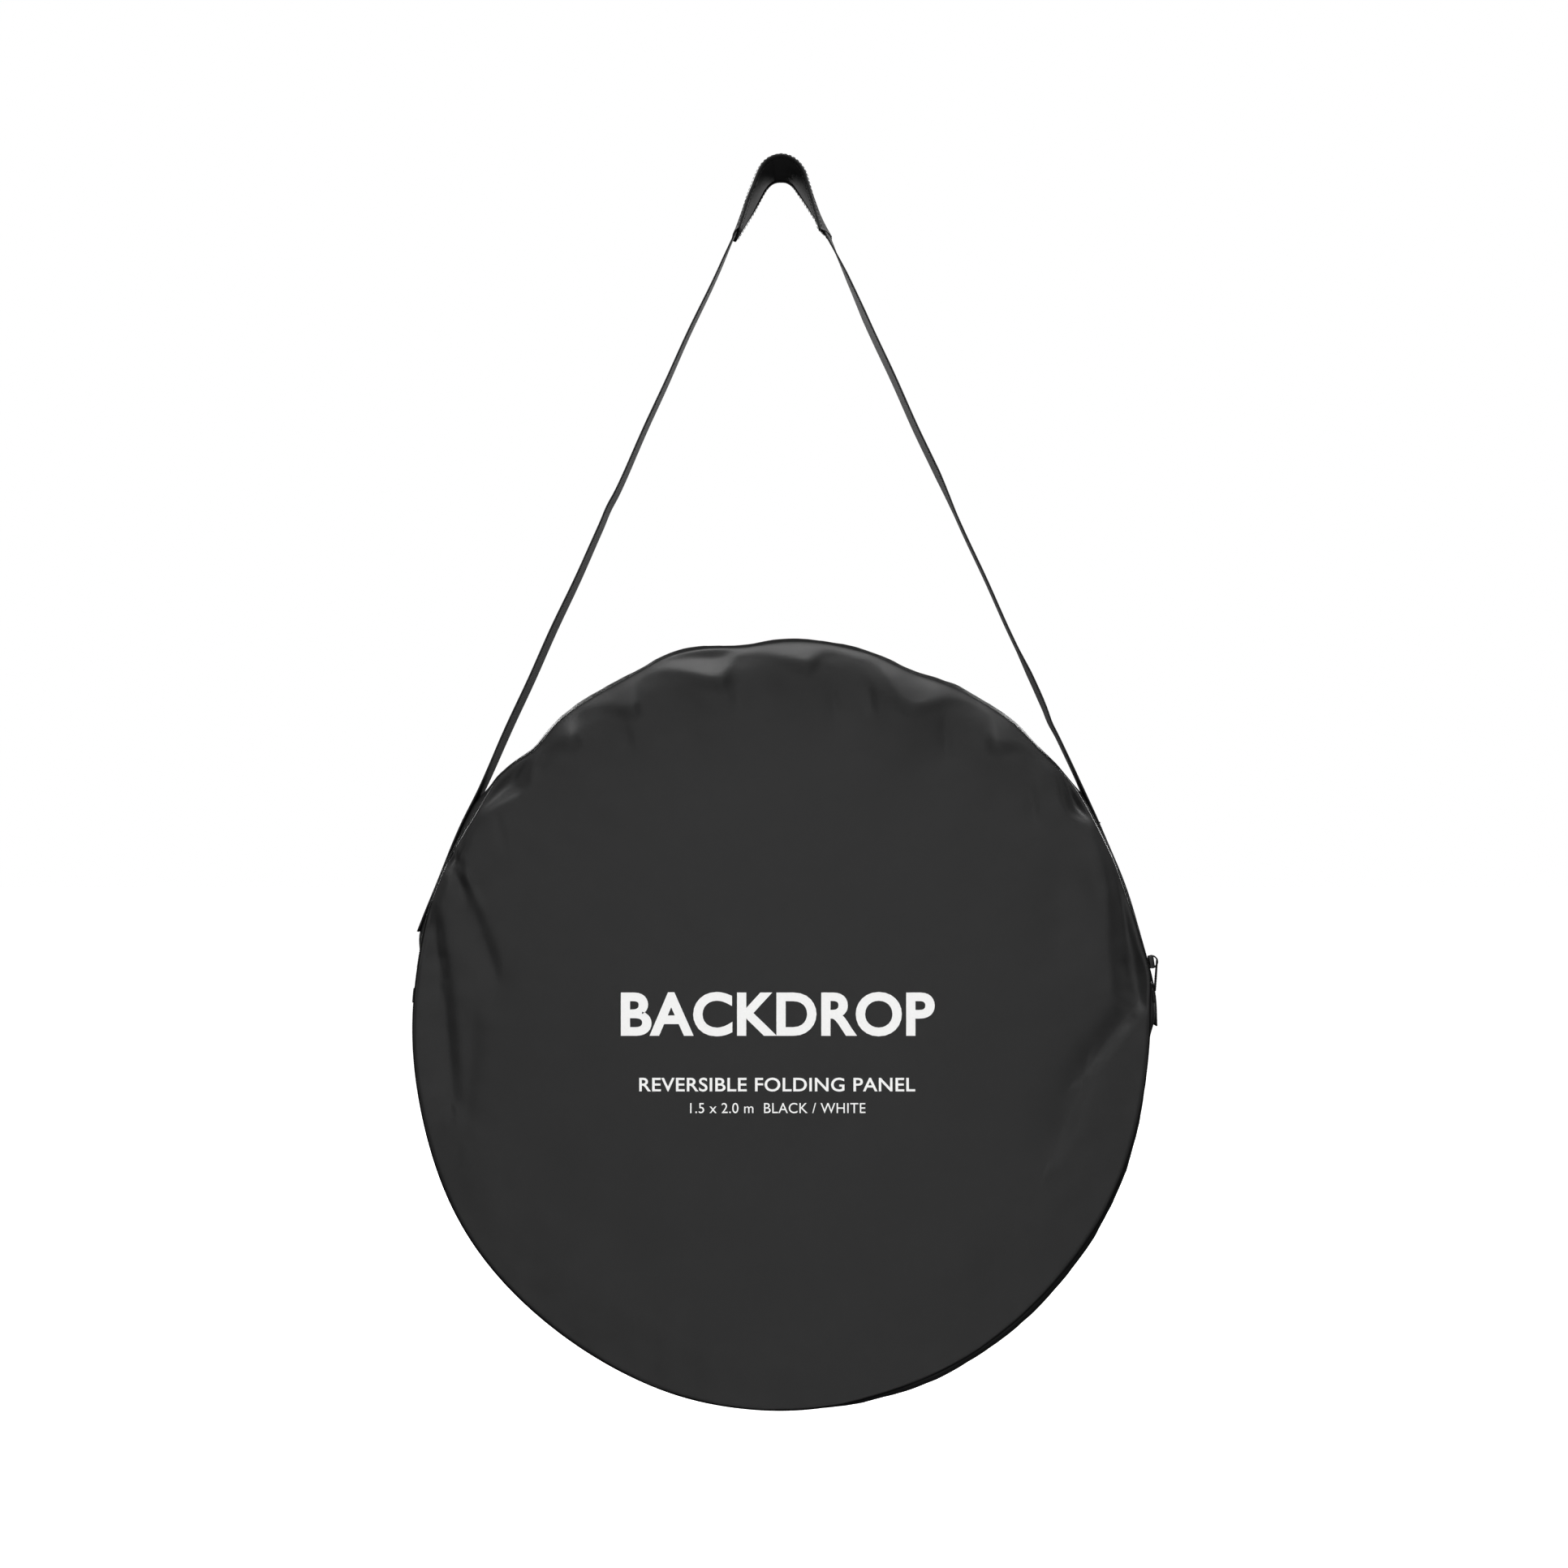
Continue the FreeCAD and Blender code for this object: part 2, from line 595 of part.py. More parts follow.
careLabel = doc.addObject("PartDesign::Body", "care_label")
labelOutline = sketchOn(careLabel, "care_label_outline", "XZ_Plane")
rectangle(labelOutline, "label", str(labelCorner[0]), f"{labelCorner[1]} - bag_drop",
          "label_length", "label_height")
thicken(careLabel, labelOutline, "label_wall")
labelMiddle = size["front_inner"] + size["label_wall"] / 2 + size["skin_gap"]
careLabel.Placement = Placement(Vector(0, labelMiddle, 0), Rotation())
keep(careLabel, "care_label")

ink = doc.addObject("PartDesign::Body", "front_print")
inkOutline = sketchOn(ink, "front_print_outline", "XZ_Plane")
for index, (left, foot, length, height) in enumerate(printLines):
    rectangle(inkOutline, f"line{index}", str(left), f"{foot} - bag_drop", str(length), str(height))
thicken(ink, inkOutline, "ink_wall").AllowMultiFace = True
inkMiddle = size["front_face"] - size["ink_wall"] / 2 - size["skin_gap"]
ink.Placement = Placement(Vector(0, inkMiddle, 0), Rotation())
keep(ink, "front_print")

# Check every object, then write each sub-part

doc.recompute()
for item in doc.Objects:
    if {"Invalid", "Error"} & set(item.State):
        raise SystemExit(f"{item.Label} did not compute: {item.State}")
for item in nodes:
    if item.Shape.isNull() or not item.Shape.isValid() or item.Shape.Volume <= 0:
        raise SystemExit(f"{item.Label} has no valid shape")

os.makedirs("parts", exist_ok=True)
for item in nodes:
    item.Shape.exportStep(f"parts/{item.Label}.step")
print(len(nodes), "nodes written; bag radius", size["bag_radius"], "leg lean", round(size["leg_lean"], 3))
print("swing axis height", depart.z, "pull pivot", pivot, "fold line", size["mouth_rise"] - size["bag_drop"])
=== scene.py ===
import json
import math

import bpy
import numpy as np
from mathutils import Matrix, Vector, noise


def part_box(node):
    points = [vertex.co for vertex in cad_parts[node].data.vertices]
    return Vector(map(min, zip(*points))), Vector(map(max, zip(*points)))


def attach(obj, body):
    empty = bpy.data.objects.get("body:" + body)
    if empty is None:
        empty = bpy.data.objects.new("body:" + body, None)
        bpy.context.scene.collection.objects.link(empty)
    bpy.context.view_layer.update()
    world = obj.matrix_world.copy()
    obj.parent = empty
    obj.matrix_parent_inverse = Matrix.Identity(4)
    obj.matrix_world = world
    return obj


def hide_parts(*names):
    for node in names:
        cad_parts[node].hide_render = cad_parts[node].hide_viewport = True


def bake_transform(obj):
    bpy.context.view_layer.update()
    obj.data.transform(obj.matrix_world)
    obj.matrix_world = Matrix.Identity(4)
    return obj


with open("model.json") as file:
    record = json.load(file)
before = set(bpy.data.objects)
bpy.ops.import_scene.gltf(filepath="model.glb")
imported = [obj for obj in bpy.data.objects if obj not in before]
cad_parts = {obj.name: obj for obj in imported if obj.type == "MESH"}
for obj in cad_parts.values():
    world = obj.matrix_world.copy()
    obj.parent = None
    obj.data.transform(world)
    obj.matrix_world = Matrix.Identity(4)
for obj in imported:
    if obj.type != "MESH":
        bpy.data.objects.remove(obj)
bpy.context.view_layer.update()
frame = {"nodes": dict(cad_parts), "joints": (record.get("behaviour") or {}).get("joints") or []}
print("frame loaded")

# Lengths are in metres. A clock angle runs from the bag's top towards +X, in degrees.
rearLow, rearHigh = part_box("rear_panel")
bagZ = (rearLow.z + rearHigh.z) / 2
bagRadius = (rearHigh.x - rearLow.x) / 2
rearY = rearHigh.y
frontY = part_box("front_panel_lower")[0].y
zipY = (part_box("front_zip_coil")[1].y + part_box("rear_zip_coil")[0].y) / 2
coilLow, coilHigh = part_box("rear_zip_coil")
zipEnd = math.degrees(math.atan2(coilHigh.x, coilLow.z - bagZ))
zipTop = coilHigh.z - bagZ - 0.0025
joints = {joint["name"]: joint for joint in frame["joints"]}
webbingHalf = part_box("strap_webbing")[1].y


# small helpers

def deselectAll():
    bpy.ops.object.select_all(action="DESELECT")


def makeActive(piece):
    deselectAll()
    piece.select_set(True)
    bpy.context.view_layer.objects.active = piece


def editAll():
    bpy.ops.object.mode_set(mode="EDIT")
    bpy.ops.mesh.select_all(action="SELECT")


def shadeSmooth(mesh):
    mesh.polygons.foreach_set("use_smooth", [True] * len(mesh.polygons))


def applyModifiers(piece):
    makeActive(piece)
    for modifier in list(piece.modifiers):
        bpy.ops.object.modifier_apply(modifier=modifier.name)
    return piece


def giveWall(piece, thickness, offset=-1.0):
    wall = piece.modifiers.new("wall", "SOLIDIFY")
    wall.thickness = thickness
    wall.offset = offset
    return applyModifiers(piece)


def clothGrid(name, points, lengths, closed=False, flip=False, material=None):
    # points: rows x columns x 3; lengths: the same grid's (across, along) distances, for the weave
    rows, columns = points.shape[:2]
    last = columns if closed else columns - 1
    faces, uvs = [], []
    for i in range(rows - 1):
        for j in range(last):
            k = (j + 1) % columns
            corners = [(i, j, j), (i, k, j + 1), (i + 1, k, j + 1), (i + 1, j, j)]
            if flip:
                corners.reverse()
            faces.append([row * columns + column for row, column, _ in corners])
            uvs += [lengths[row, at] for row, _, at in corners]
    mesh = bpy.data.meshes.new(name)
    mesh.from_pydata(points.reshape(-1, 3).tolist(), [], faces)
    layer = mesh.uv_layers.new(name="UVMap")
    layer.data.foreach_set("uv", np.array(uvs, np.float32).ravel())
    shadeSmooth(mesh)
    piece = bpy.data.objects.new(name, mesh)
    bpy.context.scene.collection.objects.link(piece)
    if material:
        mesh.materials.append(material)
    return piece


def mergeDoubles(piece, distance=0.00002):
    makeActive(piece)
    editAll()
    bpy.ops.mesh.remove_doubles(threshold=distance)
    bpy.ops.object.mode_set(mode="OBJECT")
    return piece


def copiesOf(source, name, places):
    # one mesh of many copies of a small piece, each put at its own matrix
    base = np.array([v.co for v in source.data.vertices])
    faces = [list(p.vertices) for p in source.data.polygons]
    points, allFaces = [], []
    for place in places:
        turn = np.array(place)
        first = sum(len(p) for p in points)
        points.append(base @ turn[:3, :3].T + turn[:3, 3])
        allFaces += [[first + v for v in face] for face in faces]
    mesh = bpy.data.meshes.new(name)
    mesh.from_pydata(np.concatenate(points).tolist(), [], allFaces)
    shadeSmooth(mesh)
    piece = bpy.data.objects.new(name, mesh)
    bpy.context.scene.collection.objects.link(piece)
    for material in source.data.materials:
        mesh.materials.append(material)
    bpy.data.objects.remove(source)
    return piece


def bevelledBlock(name, size, middle, bevel, segments=2, material=None):
    deselectAll()
    bpy.ops.mesh.primitive_cube_add(size=1, location=middle, scale=size)
    block = bpy.context.object
    block.name = name
    bpy.ops.object.transform_apply(location=True, rotation=True, scale=True)
    editAll()
    bpy.ops.mesh.bevel(offset=bevel, segments=segments, affect="EDGES")
    bpy.ops.object.mode_set(mode="OBJECT")
    shadeSmooth(block.data)
    if material:
        block.data.materials.append(material)
    return block


def joinPieces(first, *others):
    deselectAll()
    for piece in (first, *others):
        piece.select_set(True)
    bpy.context.view_layer.objects.active = first
    bpy.ops.object.join()
    return first


def smoothStep(value, low, high):
    t = np.clip((value - low) / (high - low), 0, 1)
    return t * t * (3 - 2 * t)


def signedClock(clock):
    # the same clock angle from -180 to 180
    return (np.asarray(clock, float) + 180) % 360 - 180


def swell(clock, centre, half):
    # 1 at a clock angle, easing to 0 on both sides of it
    away = signedClock(np.asarray(clock, float) - centre)
    return np.exp(-(away / half) ** 2)


def rough(points, scale, seed):
    # smooth noise of size about 1 at each point
    flat = np.asarray(points, float).reshape(-1, 3) * scale
    values = [noise.noise(Vector((p[0] + seed, p[1] - seed, p[2] + 2 * seed))) for p in flat]
    return np.array(values).reshape(np.asarray(points).shape[:-1])


# finishes

def newMaterial(name):
    material = bpy.data.materials.new(name)
    material.use_nodes = True
    tree = material.node_tree
    return material, tree, tree.nodes["Principled BSDF"]


def addNode(tree, kind, **values):
    node = tree.nodes.new(kind)
    for key, value in values.items():
        if hasattr(node, key):
            setattr(node, key, value)
        else:
            node.inputs[key.replace("_", " ")].default_value = value
    return node


def tintedNoise(tree, vector, colour, spread, scale, detail=3.0):
    # the colour, a little lighter and darker from place to place
    grain = addNode(tree, "ShaderNodeTexNoise", Scale=scale, Detail=detail)
    tree.links.new(vector, grain.inputs["Vector"])
    ramp = tree.nodes.new("ShaderNodeValToRGB")
    ramp.color_ramp.elements[0].position = 0.3
    ramp.color_ramp.elements[1].position = 0.7
    ramp.color_ramp.elements[0].color = [c * (1 - spread) for c in colour] + [1]
    ramp.color_ramp.elements[1].color = [c * (1 + spread) for c in colour] + [1]
    tree.links.new(grain.outputs["Fac"], ramp.inputs["Fac"])
    return ramp.outputs["Color"], grain.outputs["Fac"]


def threads(tree, vector, pitch, direction, distortion=0.4):
    wave = addNode(tree, "ShaderNodeTexWave", wave_type="BANDS", bands_direction=direction,
                   Scale=0.314 / pitch, Distortion=distortion, Detail=1.0)
    wave.inputs["Detail Scale"].default_value = 0.3
    tree.links.new(vector, wave.inputs["Vector"])
    return wave.outputs["Fac"]


def mathNode(tree, operation, first, second):
    node = tree.nodes.new("ShaderNodeMath")
    node.operation = operation
    for socket, value in zip(node.inputs, (first, second)):
        if isinstance(value, (int, float)):
            socket.default_value = value
        else:
            tree.links.new(value, socket)
    return node.outputs[0]


def wovenCloth(name, colour, warp, weft, depth, roughness=0.75, specular=0.35, sheen=0.0, spread=0.08,
               source="UV", mottle=0.05, twill=0.0):
    material, tree, shader = newMaterial(name)
    place = tree.nodes.new("ShaderNodeTexCoord").outputs[source]
    base, grain = tintedNoise(tree, place, colour, spread, 900)
    broad, _ = tintedNoise(tree, place, (0.5, 0.5, 0.5), mottle, 14)
    mix = tree.nodes.new("ShaderNodeMix")
    mix.data_type = "RGBA"
    mix.blend_type = "SOFT_LIGHT"
    mix.inputs["Factor"].default_value = 1.0
    tree.links.new(base, mix.inputs["A"])
    tree.links.new(broad, mix.inputs["B"])
    across = threads(tree, place, warp, "X")
    along = threads(tree, place, weft, "DIAGONAL" if twill else "Y")
    weave = mathNode(tree, "MAXIMUM", across, along)
    darker = tree.nodes.new("ShaderNodeMix")
    darker.data_type = "RGBA"
    darker.blend_type = "MULTIPLY"
    darker.inputs["Factor"].default_value = 0.35
    tree.links.new(mix.outputs["Result"], darker.inputs["A"])
    tree.links.new(weave, darker.inputs["B"])
    tree.links.new(darker.outputs["Result"], shader.inputs["Base Color"])
    bump = addNode(tree, "ShaderNodeBump", Strength=0.5, Distance=depth)
    raised = mathNode(tree, "ADD", weave, mathNode(tree, "MULTIPLY", grain, 0.6))
    tree.links.new(raised, bump.inputs["Height"])
    tree.links.new(bump.outputs["Normal"], shader.inputs["Normal"])
    rougher = mathNode(tree, "ADD", roughness - 0.06, mathNode(tree, "MULTIPLY", grain, 0.12))
    tree.links.new(rougher, shader.inputs["Roughness"])
    shader.inputs["Specular IOR Level"].default_value = specular
    shader.inputs["Sheen Weight"].default_value = sheen
    shader.inputs["Sheen Roughness"].default_value = 0.4
    return material


def hardFinish(name, colour, roughness, metallic=0.0, scratch=220.0, depth=0.00003, spread=0.1):
    material, tree, shader = newMaterial(name)
    place = tree.nodes.new("ShaderNodeTexCoord").outputs["Object"]
    base, grain = tintedNoise(tree, place, colour, spread, scratch)
    tree.links.new(base, shader.inputs["Base Color"])
    fine = addNode(tree, "ShaderNodeTexNoise", Scale=scratch * 6, Detail=2.0)
    tree.links.new(place, fine.inputs["Vector"])
    rougher = mathNode(tree, "ADD", roughness - 0.07, mathNode(tree, "MULTIPLY", grain, 0.14))
    tree.links.new(rougher, shader.inputs["Roughness"])
    bump = addNode(tree, "ShaderNodeBump", Strength=0.35, Distance=depth)
    tree.links.new(fine.outputs["Fac"], bump.inputs["Height"])
    tree.links.new(bump.outputs["Normal"], shader.inputs["Normal"])
    shader.inputs["Metallic"].default_value = metallic
    return material


finishes = {
    "bagCloth": wovenCloth("bag_nylon", (0.0135, 0.0135, 0.0137), 0.0006, 0.0006, 0.00008, 0.45, 0.35),
    "webbing": wovenCloth("strap_webbing_weave", (0.0080, 0.0080, 0.0083), 0.0021, 0.0013, 0.00022, 0.7, 0.35,
                          spread=0.12),
    "binding": wovenCloth("seam_binding", (0.003, 0.003, 0.003), 0.0008, 0.0008, 0.00008, 0.85, 0.1,
                          source="Object"),
    "padCover": wovenCloth("pad_cover_cloth", (0.0150, 0.0150, 0.0153), 0.0007, 0.0007, 0.00004, 0.75, 0.3),
    "padUnder": wovenCloth("pad_lining_cloth", (0.0240, 0.0240, 0.0243), 0.0011, 0.0011, 0.00005, 0.85, 0.25),
    "zipTape": wovenCloth("zip_tape_weave", (0.006, 0.006, 0.006), 0.0009, 0.0006, 0.0001, 0.8, 0.2),
    "thread": wovenCloth("sewing_thread", (0.013, 0.013, 0.0135), 0.0004, 0.0004, 0.00005, 0.6, 0.4,
                         source="Object"),
    "blackSheet": wovenCloth("black_backdrop_cloth", (0.005, 0.005, 0.0053), 0.0008, 0.0008, 0.0001, 0.92,
                             0.12, sheen=0.15),
    "whiteSheet": wovenCloth("white_backdrop_cloth", (0.78, 0.78, 0.76), 0.0008, 0.0008, 0.0001, 0.9, 0.2,
                             spread=0.02),
    "label": wovenCloth("care_label_satin", (0.72, 0.72, 0.7), 0.0003, 0.0009, 0.00005, 0.55, 0.4,
                        source="Object", spread=0.03),
    "zipCoil": hardFinish("zip_coil_nylon", (0.007, 0.007, 0.007), 0.45),
    "zipMetal": hardFinish("zip_black_metal", (0.006, 0.006, 0.0063), 0.45, metallic=0.2),
    "spring": hardFinish("spring_steel", (0.42, 0.42, 0.44), 0.32, metallic=1.0, scratch=400, spread=0.15),
    "ferrule": hardFinish("plated_ferrule", (0.6, 0.6, 0.58), 0.3, metallic=1.0, scratch=300),
    "ink": hardFinish("screen_print_ink", (0.94, 0.94, 0.93), 0.6, scratch=500, spread=0.02, depth=0.00006),
}
print("finishes made")


# the bag's outline, seams and folds

# how the filled bag departs from a circle: the clock angle, half width and height of each lump
outlineShape = {
    "radius": 0.3489,
    "drop": -0.0013,
    "tall": 0.0075,
    "lumps": [
        (-165, 9, 0.0010), (-122, 17, 0.0050), (-92, 14, 0.0018), (-68, 9, 0.0030), (-50, 4, 0.0030),
        (-42, 3.5, -0.0052), (-35, 5, 0.0012), (-16, 6, 0.0044), (-6, 4, -0.0026), (4, 6, 0.0014),
        (20, 5, -0.0052), (37, 5, 0.0024), (51, 5, 0.0026), (70, 11, -0.0024), (82, 3.5, 0.0028),
        (97, 11, -0.0019), (121, 11, 0.0016), (138, 8, 0.0009), (158, 17, 0.0028), (165, 8, -0.0011),
    ],
}


# the strap's path where it is sewn round the rim: clock angle and radius
strapOnRim = {
    "left": [(53, 0.356), (60, 0.3505), (70, 0.3475), (76, 0.350)],
    "right": [(53, 0.353), (60, 0.346), (71, 0.342), (84, 0.3455), (90.5, 0.3475)],
}


def outline(clock):
    angle = np.radians(clock)
    radius = outlineShape["radius"] + outlineShape["drop"] * np.cos(angle)
    radius = radius + outlineShape["tall"] * np.cos(2 * angle)
    for centre, half, height in outlineShape["lumps"]:
        radius = radius + height * swell(clock, centre, half)
    return radius


seams = {
    "rollWidthTop": 0.019,
    "rollWidthLow": 0.0042,
    "rollDepthTop": 0.0048,
    "rollDepthLow": 0.0018,
    "rollY": frontY + 0.0024,
    "overhang": -38.0,
    "faceCrest": 0.025,
    "seamInset": 0.0012,
    "openInset": 0.0042,
    "rearInset": 0.0035,
    "topInset": 0.0016,
    "gussetCrest": 0.0012,
    "openCrest": 0.0022,
    "topCrest": 0.0012,
    "strapPress": 0.0014,
}


def topShare(clock):
    # 1 along the zipped top of the bag, easing to 0 below the zip's ends
    away = np.abs(signedClock(clock))
    return 1 - smoothStep(away, 58, 84)


def openShare(clock):
    # where the gusset shows past the front seam, low on the right
    away = np.asarray(clock, float) % 360
    return smoothStep(away, 86, 145) * (1 - smoothStep(away, 156, 184))


def rollEdge(clock):
    # the front cloth's outermost radius
    inset = seams["seamInset"] + seams["openInset"] * openShare(clock)
    return outline(clock) - inset * (1 - topShare(clock)) - seams["topInset"] * topShare(clock)


def rollAt(clock, turn):
    # the rolled edge of the front cloth, from 90 (flat face) to 0 (outermost) and past it (tucked behind)
    top = topShare(clock)
    wide = seams["rollWidthLow"] + (seams["rollWidthTop"] - seams["rollWidthLow"]) * top
    deep = seams["rollDepthLow"] + (seams["rollDepthTop"] - seams["rollDepthLow"]) * top
    centre = rollEdge(clock) - wide
    return centre + wide * np.cos(np.radians(turn)), seams["rollY"] - deep * np.sin(np.radians(turn))


def lastTurn(clock):
    return 4 + (seams["overhang"] - 4) * topShare(clock)


def frontSeam(clock):
    return rollAt(clock, lastTurn(clock))


def rearSeam(clock):
    return outline(clock) - seams["rearInset"]


def strapShare(clock):
    # where the strap is drawn tight over the gusset
    signed = signedClock(clock)
    left = smoothStep(-signed, 50, 56) * (1 - smoothStep(-signed, 76, 80))
    right = smoothStep(signed, 50, 56) * (1 - smoothStep(signed, 88, 93))
    return left + right


def strapRadius(clock):
    # the middle of the webbing along the rim
    signed = signedClock(clock)
    left = np.interp(-signed, *zip(*strapOnRim["left"]))
    right = np.interp(signed, *zip(*strapOnRim["right"]))
    return np.where(signed < 0, left, right)


def zipRadius(clock):
    # the line of the zip lies in a valley over the top and comes out to the rim at the sides
    high = zipTop + 0 * np.asarray(clock, float)
    low = outline(clock) - 0.0008
    soft = 0.0012
    return -soft * np.log(np.exp(-(high - bagRadius) / soft) + np.exp(-(low - bagRadius) / soft)) + bagRadius


def gussetCrest(clock):
    # the gusset's radius half way between its seams
    loose = outline(clock) + seams["gussetCrest"] + seams["openCrest"] * openShare(clock)
    loose = loose + seams["topCrest"] * topShare(clock)
    pressed = strapRadius(clock) - seams["strapPress"]
    share = strapShare(clock)
    return loose * (1 - share) + pressed * share


def aroundBag(clock, radius, y):
    angle = np.radians(clock)
    shape = np.broadcast(clock, radius, y).shape
    points = np.empty(shape + (3,))
    points[..., 0] = radius * np.sin(angle)
    points[..., 1] = y
    points[..., 2] = bagZ + radius * np.cos(angle)
    return points


def arcOnRim(clock, points):
    # the distance round the rim at each point of a grid
    return np.radians(clock)[None, :] * bagRadius + 0 * points[..., 0]


def faceLengths(points):
    # the weave of the round faces lies straight across them, so it takes X and Z
    return np.concatenate([points[..., [0, 2]], points[:, :1][..., [0, 2]]], axis=1)


# soft rolls and pockets round the rim: clock angle, spread in degrees before and after it, how far in
# from the rim it reaches, how far it is puffed up and how deep a pocket opens at the rim
rimRolls = [
    (-62, 5, 5, 0.003, 0, 0.003),
    (-48, 8, 5, 0.022, 0, 0.008),
    (-36, 6, 2, 0.012, 0.005, 0),
    (-25, 7, 2, 0.018, 0.005, 0),
    (-10, 12, 3, 0.022, 0.006, 0.003),
    (4, 10, 3, 0.012, 0.005, 0),
    (22, 9, 8, 0.020, 0.006, 0),
    (37, 4, 5, 0.016, 0.005, 0),
    (53, 6, 4, 0.014, 0, 0.008),
    (84, 26, 5, 0.030, 0.002, 0.006),
]
rimSlopes = {"reach": 0.007, "rise": 0.0008, "puffPower": 1.25, "inside": 0.052, "floor": 0.34, "soften": 2,
             "spread": 11}


def rimShare(signed, centre, before, after):
    # 1 at the middle of a roll, easing to 0 over its spread on each side
    away = signed - centre
    share = np.abs(away) / np.where(away < 0, before, after)
    return 0.5 + 0.5 * np.cos(math.pi * np.minimum(share, 1))


def aroundMean(height, count):
    # ease a height along the rim over some columns on each side
    weights = np.cos(np.linspace(-math.pi / 2, math.pi / 2, 2 * count + 3))[1:-1]
    steps = range(-count, count + 1)
    return sum(w * np.roll(height, k, axis=1) for w, k in zip(weights, steps)) / weights.sum()


def rimHeight(clock, radius):
    # the height of the rolls and pockets at the rim, easing out into the face
    signed = signedClock(clock)
    rim = rollEdge(clock)
    reach, rise, depth = rimSlopes["reach"], rimSlopes["rise"] * topShare(clock), 0
    for centre, before, after, inwards, puffed, pocketed in rimRolls:
        share = rimShare(signed, centre, before, after)
        reach, rise, depth = reach + inwards * share, rise + puffed * share, depth + pocketed * share
    inset = np.maximum(rim - radius, 0)
    share = np.minimum(inset / reach, 1)
    past = np.maximum(inset - reach, 0)
    puff = rise * share ** rimSlopes["puffPower"] * np.exp(-(past / rimSlopes["inside"]) ** 2)
    floor = rimSlopes["floor"]
    pocket = depth * smoothStep(share, 0, floor) * (1 - smoothStep(share, floor, 1.0))
    height = aroundMean(puff - pocket, rimSlopes["soften"])
    inside = smoothStep(inset - reach, 0.0, 0.016)
    return height * (1 - inside) + aroundMean(height, rimSlopes["spread"]) * inside


# each fold of the front cloth runs between two points beside the bag's centre, with a width on each
# side and a height; a valley's height is below zero
frontFolds = [
    # short soft folds below the rolls of the rim
    (-0.0410, 0.3230, -0.0425, 0.2930, 0.003, 0.005, -0.0009),
    (0.0450, 0.3120, 0.0500, 0.2820, 0.003, 0.006, -0.0008),
    (0.0788, 0.3150, 0.0830, 0.2850, 0.003, 0.006, -0.0009),
    (0.1500, 0.2880, 0.1520, 0.2450, 0.003, 0.007, -0.0009),
    (0.2280, 0.2300, 0.2330, 0.1850, 0.004, 0.008, -0.0009),
    (-0.1480, 0.2820, -0.1400, 0.2500, 0.004, 0.007, -0.0006),
    # gathers below the left tail's tack
    (-0.3075, 0.1600, -0.2970, 0.1450, 0.003, 0.004, -0.0028),
    (-0.3070, 0.1540, -0.2925, 0.1180, 0.005, 0.007, -0.0034),
    (-0.3000, 0.1500, -0.2760, 0.1020, 0.004, 0.009, 0.0014),
    (-0.2930, 0.1230, -0.2620, 0.0300, 0.008, 0.018, -0.0024),
    (-0.2860, 0.0300, -0.2960, -0.1040, 0.010, 0.024, -0.0012),
    (-0.3230, 0.1050, -0.3160, 0.0420, 0.005, 0.012, -0.0034),
    (-0.3170, 0.0600, -0.3060, -0.0700, 0.007, 0.018, -0.0030),
    (-0.2620, 0.1900, -0.2560, 0.1560, 0.003, 0.006, -0.0006),
    # the long fold from the right tail's end
    (0.3290, 0.0190, 0.2738, -0.0508, 0.005, 0.014, -0.0038),
    (0.2800, -0.0420, 0.2480, -0.1230, 0.009, 0.024, -0.0026),
    (0.3150, 0.0620, 0.3240, 0.0380, 0.008, 0.008, -0.0024),
    (0.2880, 0.1780, 0.2960, 0.0720, 0.016, 0.013, 0.0016),
    (0.3130, 0.1350, 0.3200, 0.0700, 0.009, 0.007, -0.0018),
    (0.2560, 0.1600, 0.2520, 0.0500, 0.012, 0.020, -0.0008),
    # broad, faint billows low down
    (-0.2050, -0.1500, -0.1250, -0.2450, 0.030, 0.030, -0.0010),
    (0.1200, -0.2500, 0.2200, -0.1700, 0.030, 0.026, 0.0010),
]
printBox = [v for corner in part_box("front_print") for v in (corner.x, corner.z - bagZ)]


def foldHeight(x, z):
    # height of the cloth over its smooth shape, towards the front
    height = np.zeros_like(x)
    for x0, z0, x1, z1, leftWidth, rightWidth, rise in frontFolds:
        way = np.array([x1 - x0, z1 - z0])
        length = np.hypot(*way)
        way = way / length
        along = ((x - x0) * way[0] + (z - z0) * way[1]) / length
        side = (x - x0) * way[1] - (z - z0) * way[0]
        width = np.where(side < 0, leftWidth, rightWidth)
        past = np.maximum(np.maximum(-along, along - 1) * length, 0)
        ease = 0.35 + 0.65 * smoothStep(np.minimum(along, 1 - along), -0.05, 0.35)
        height += rise * ease * np.exp(-(side / width) ** 2 - (past / (0.8 * width)) ** 2)
    return height


def billows(points):
    # faint unevenness of the whole cloth, smooth where the print lies
    x, z = points[..., 0], points[..., 2] - bagZ
    stretched = points * np.array([1.0, 1.0, 0.45])
    uneven = 0.00055 * rough(stretched, 17, 3.1) + 0.00022 * rough(points, 52, 8.7)
    left, low, right, high = printBox
    inPrint = (1 - smoothStep(np.maximum(left - x, x - right), 0.0, 0.04)) * (
        1 - smoothStep(np.maximum(low - z, z - high), 0.0, 0.04))
    rim = smoothStep(np.hypot(x, z), 0.24, 0.335)
    return uneven * (1 - inPrint) * (1 + 1.2 * rim)


def lifted(points, height):
    # move a grid along its own normals, outwards for positive heights
    alongRow = np.roll(points, -1, axis=1) - np.roll(points, 1, axis=1)
    acrossRow = np.gradient(points, axis=0)
    normal = np.cross(alongRow, acrossRow)
    size = np.linalg.norm(normal, axis=-1, keepdims=True)
    normal = normal / np.maximum(size, 1e-12)
    return points + normal * height[..., None]


# the front cloth, one sheet from the bottom seam over the mouth's fold line to the top seam

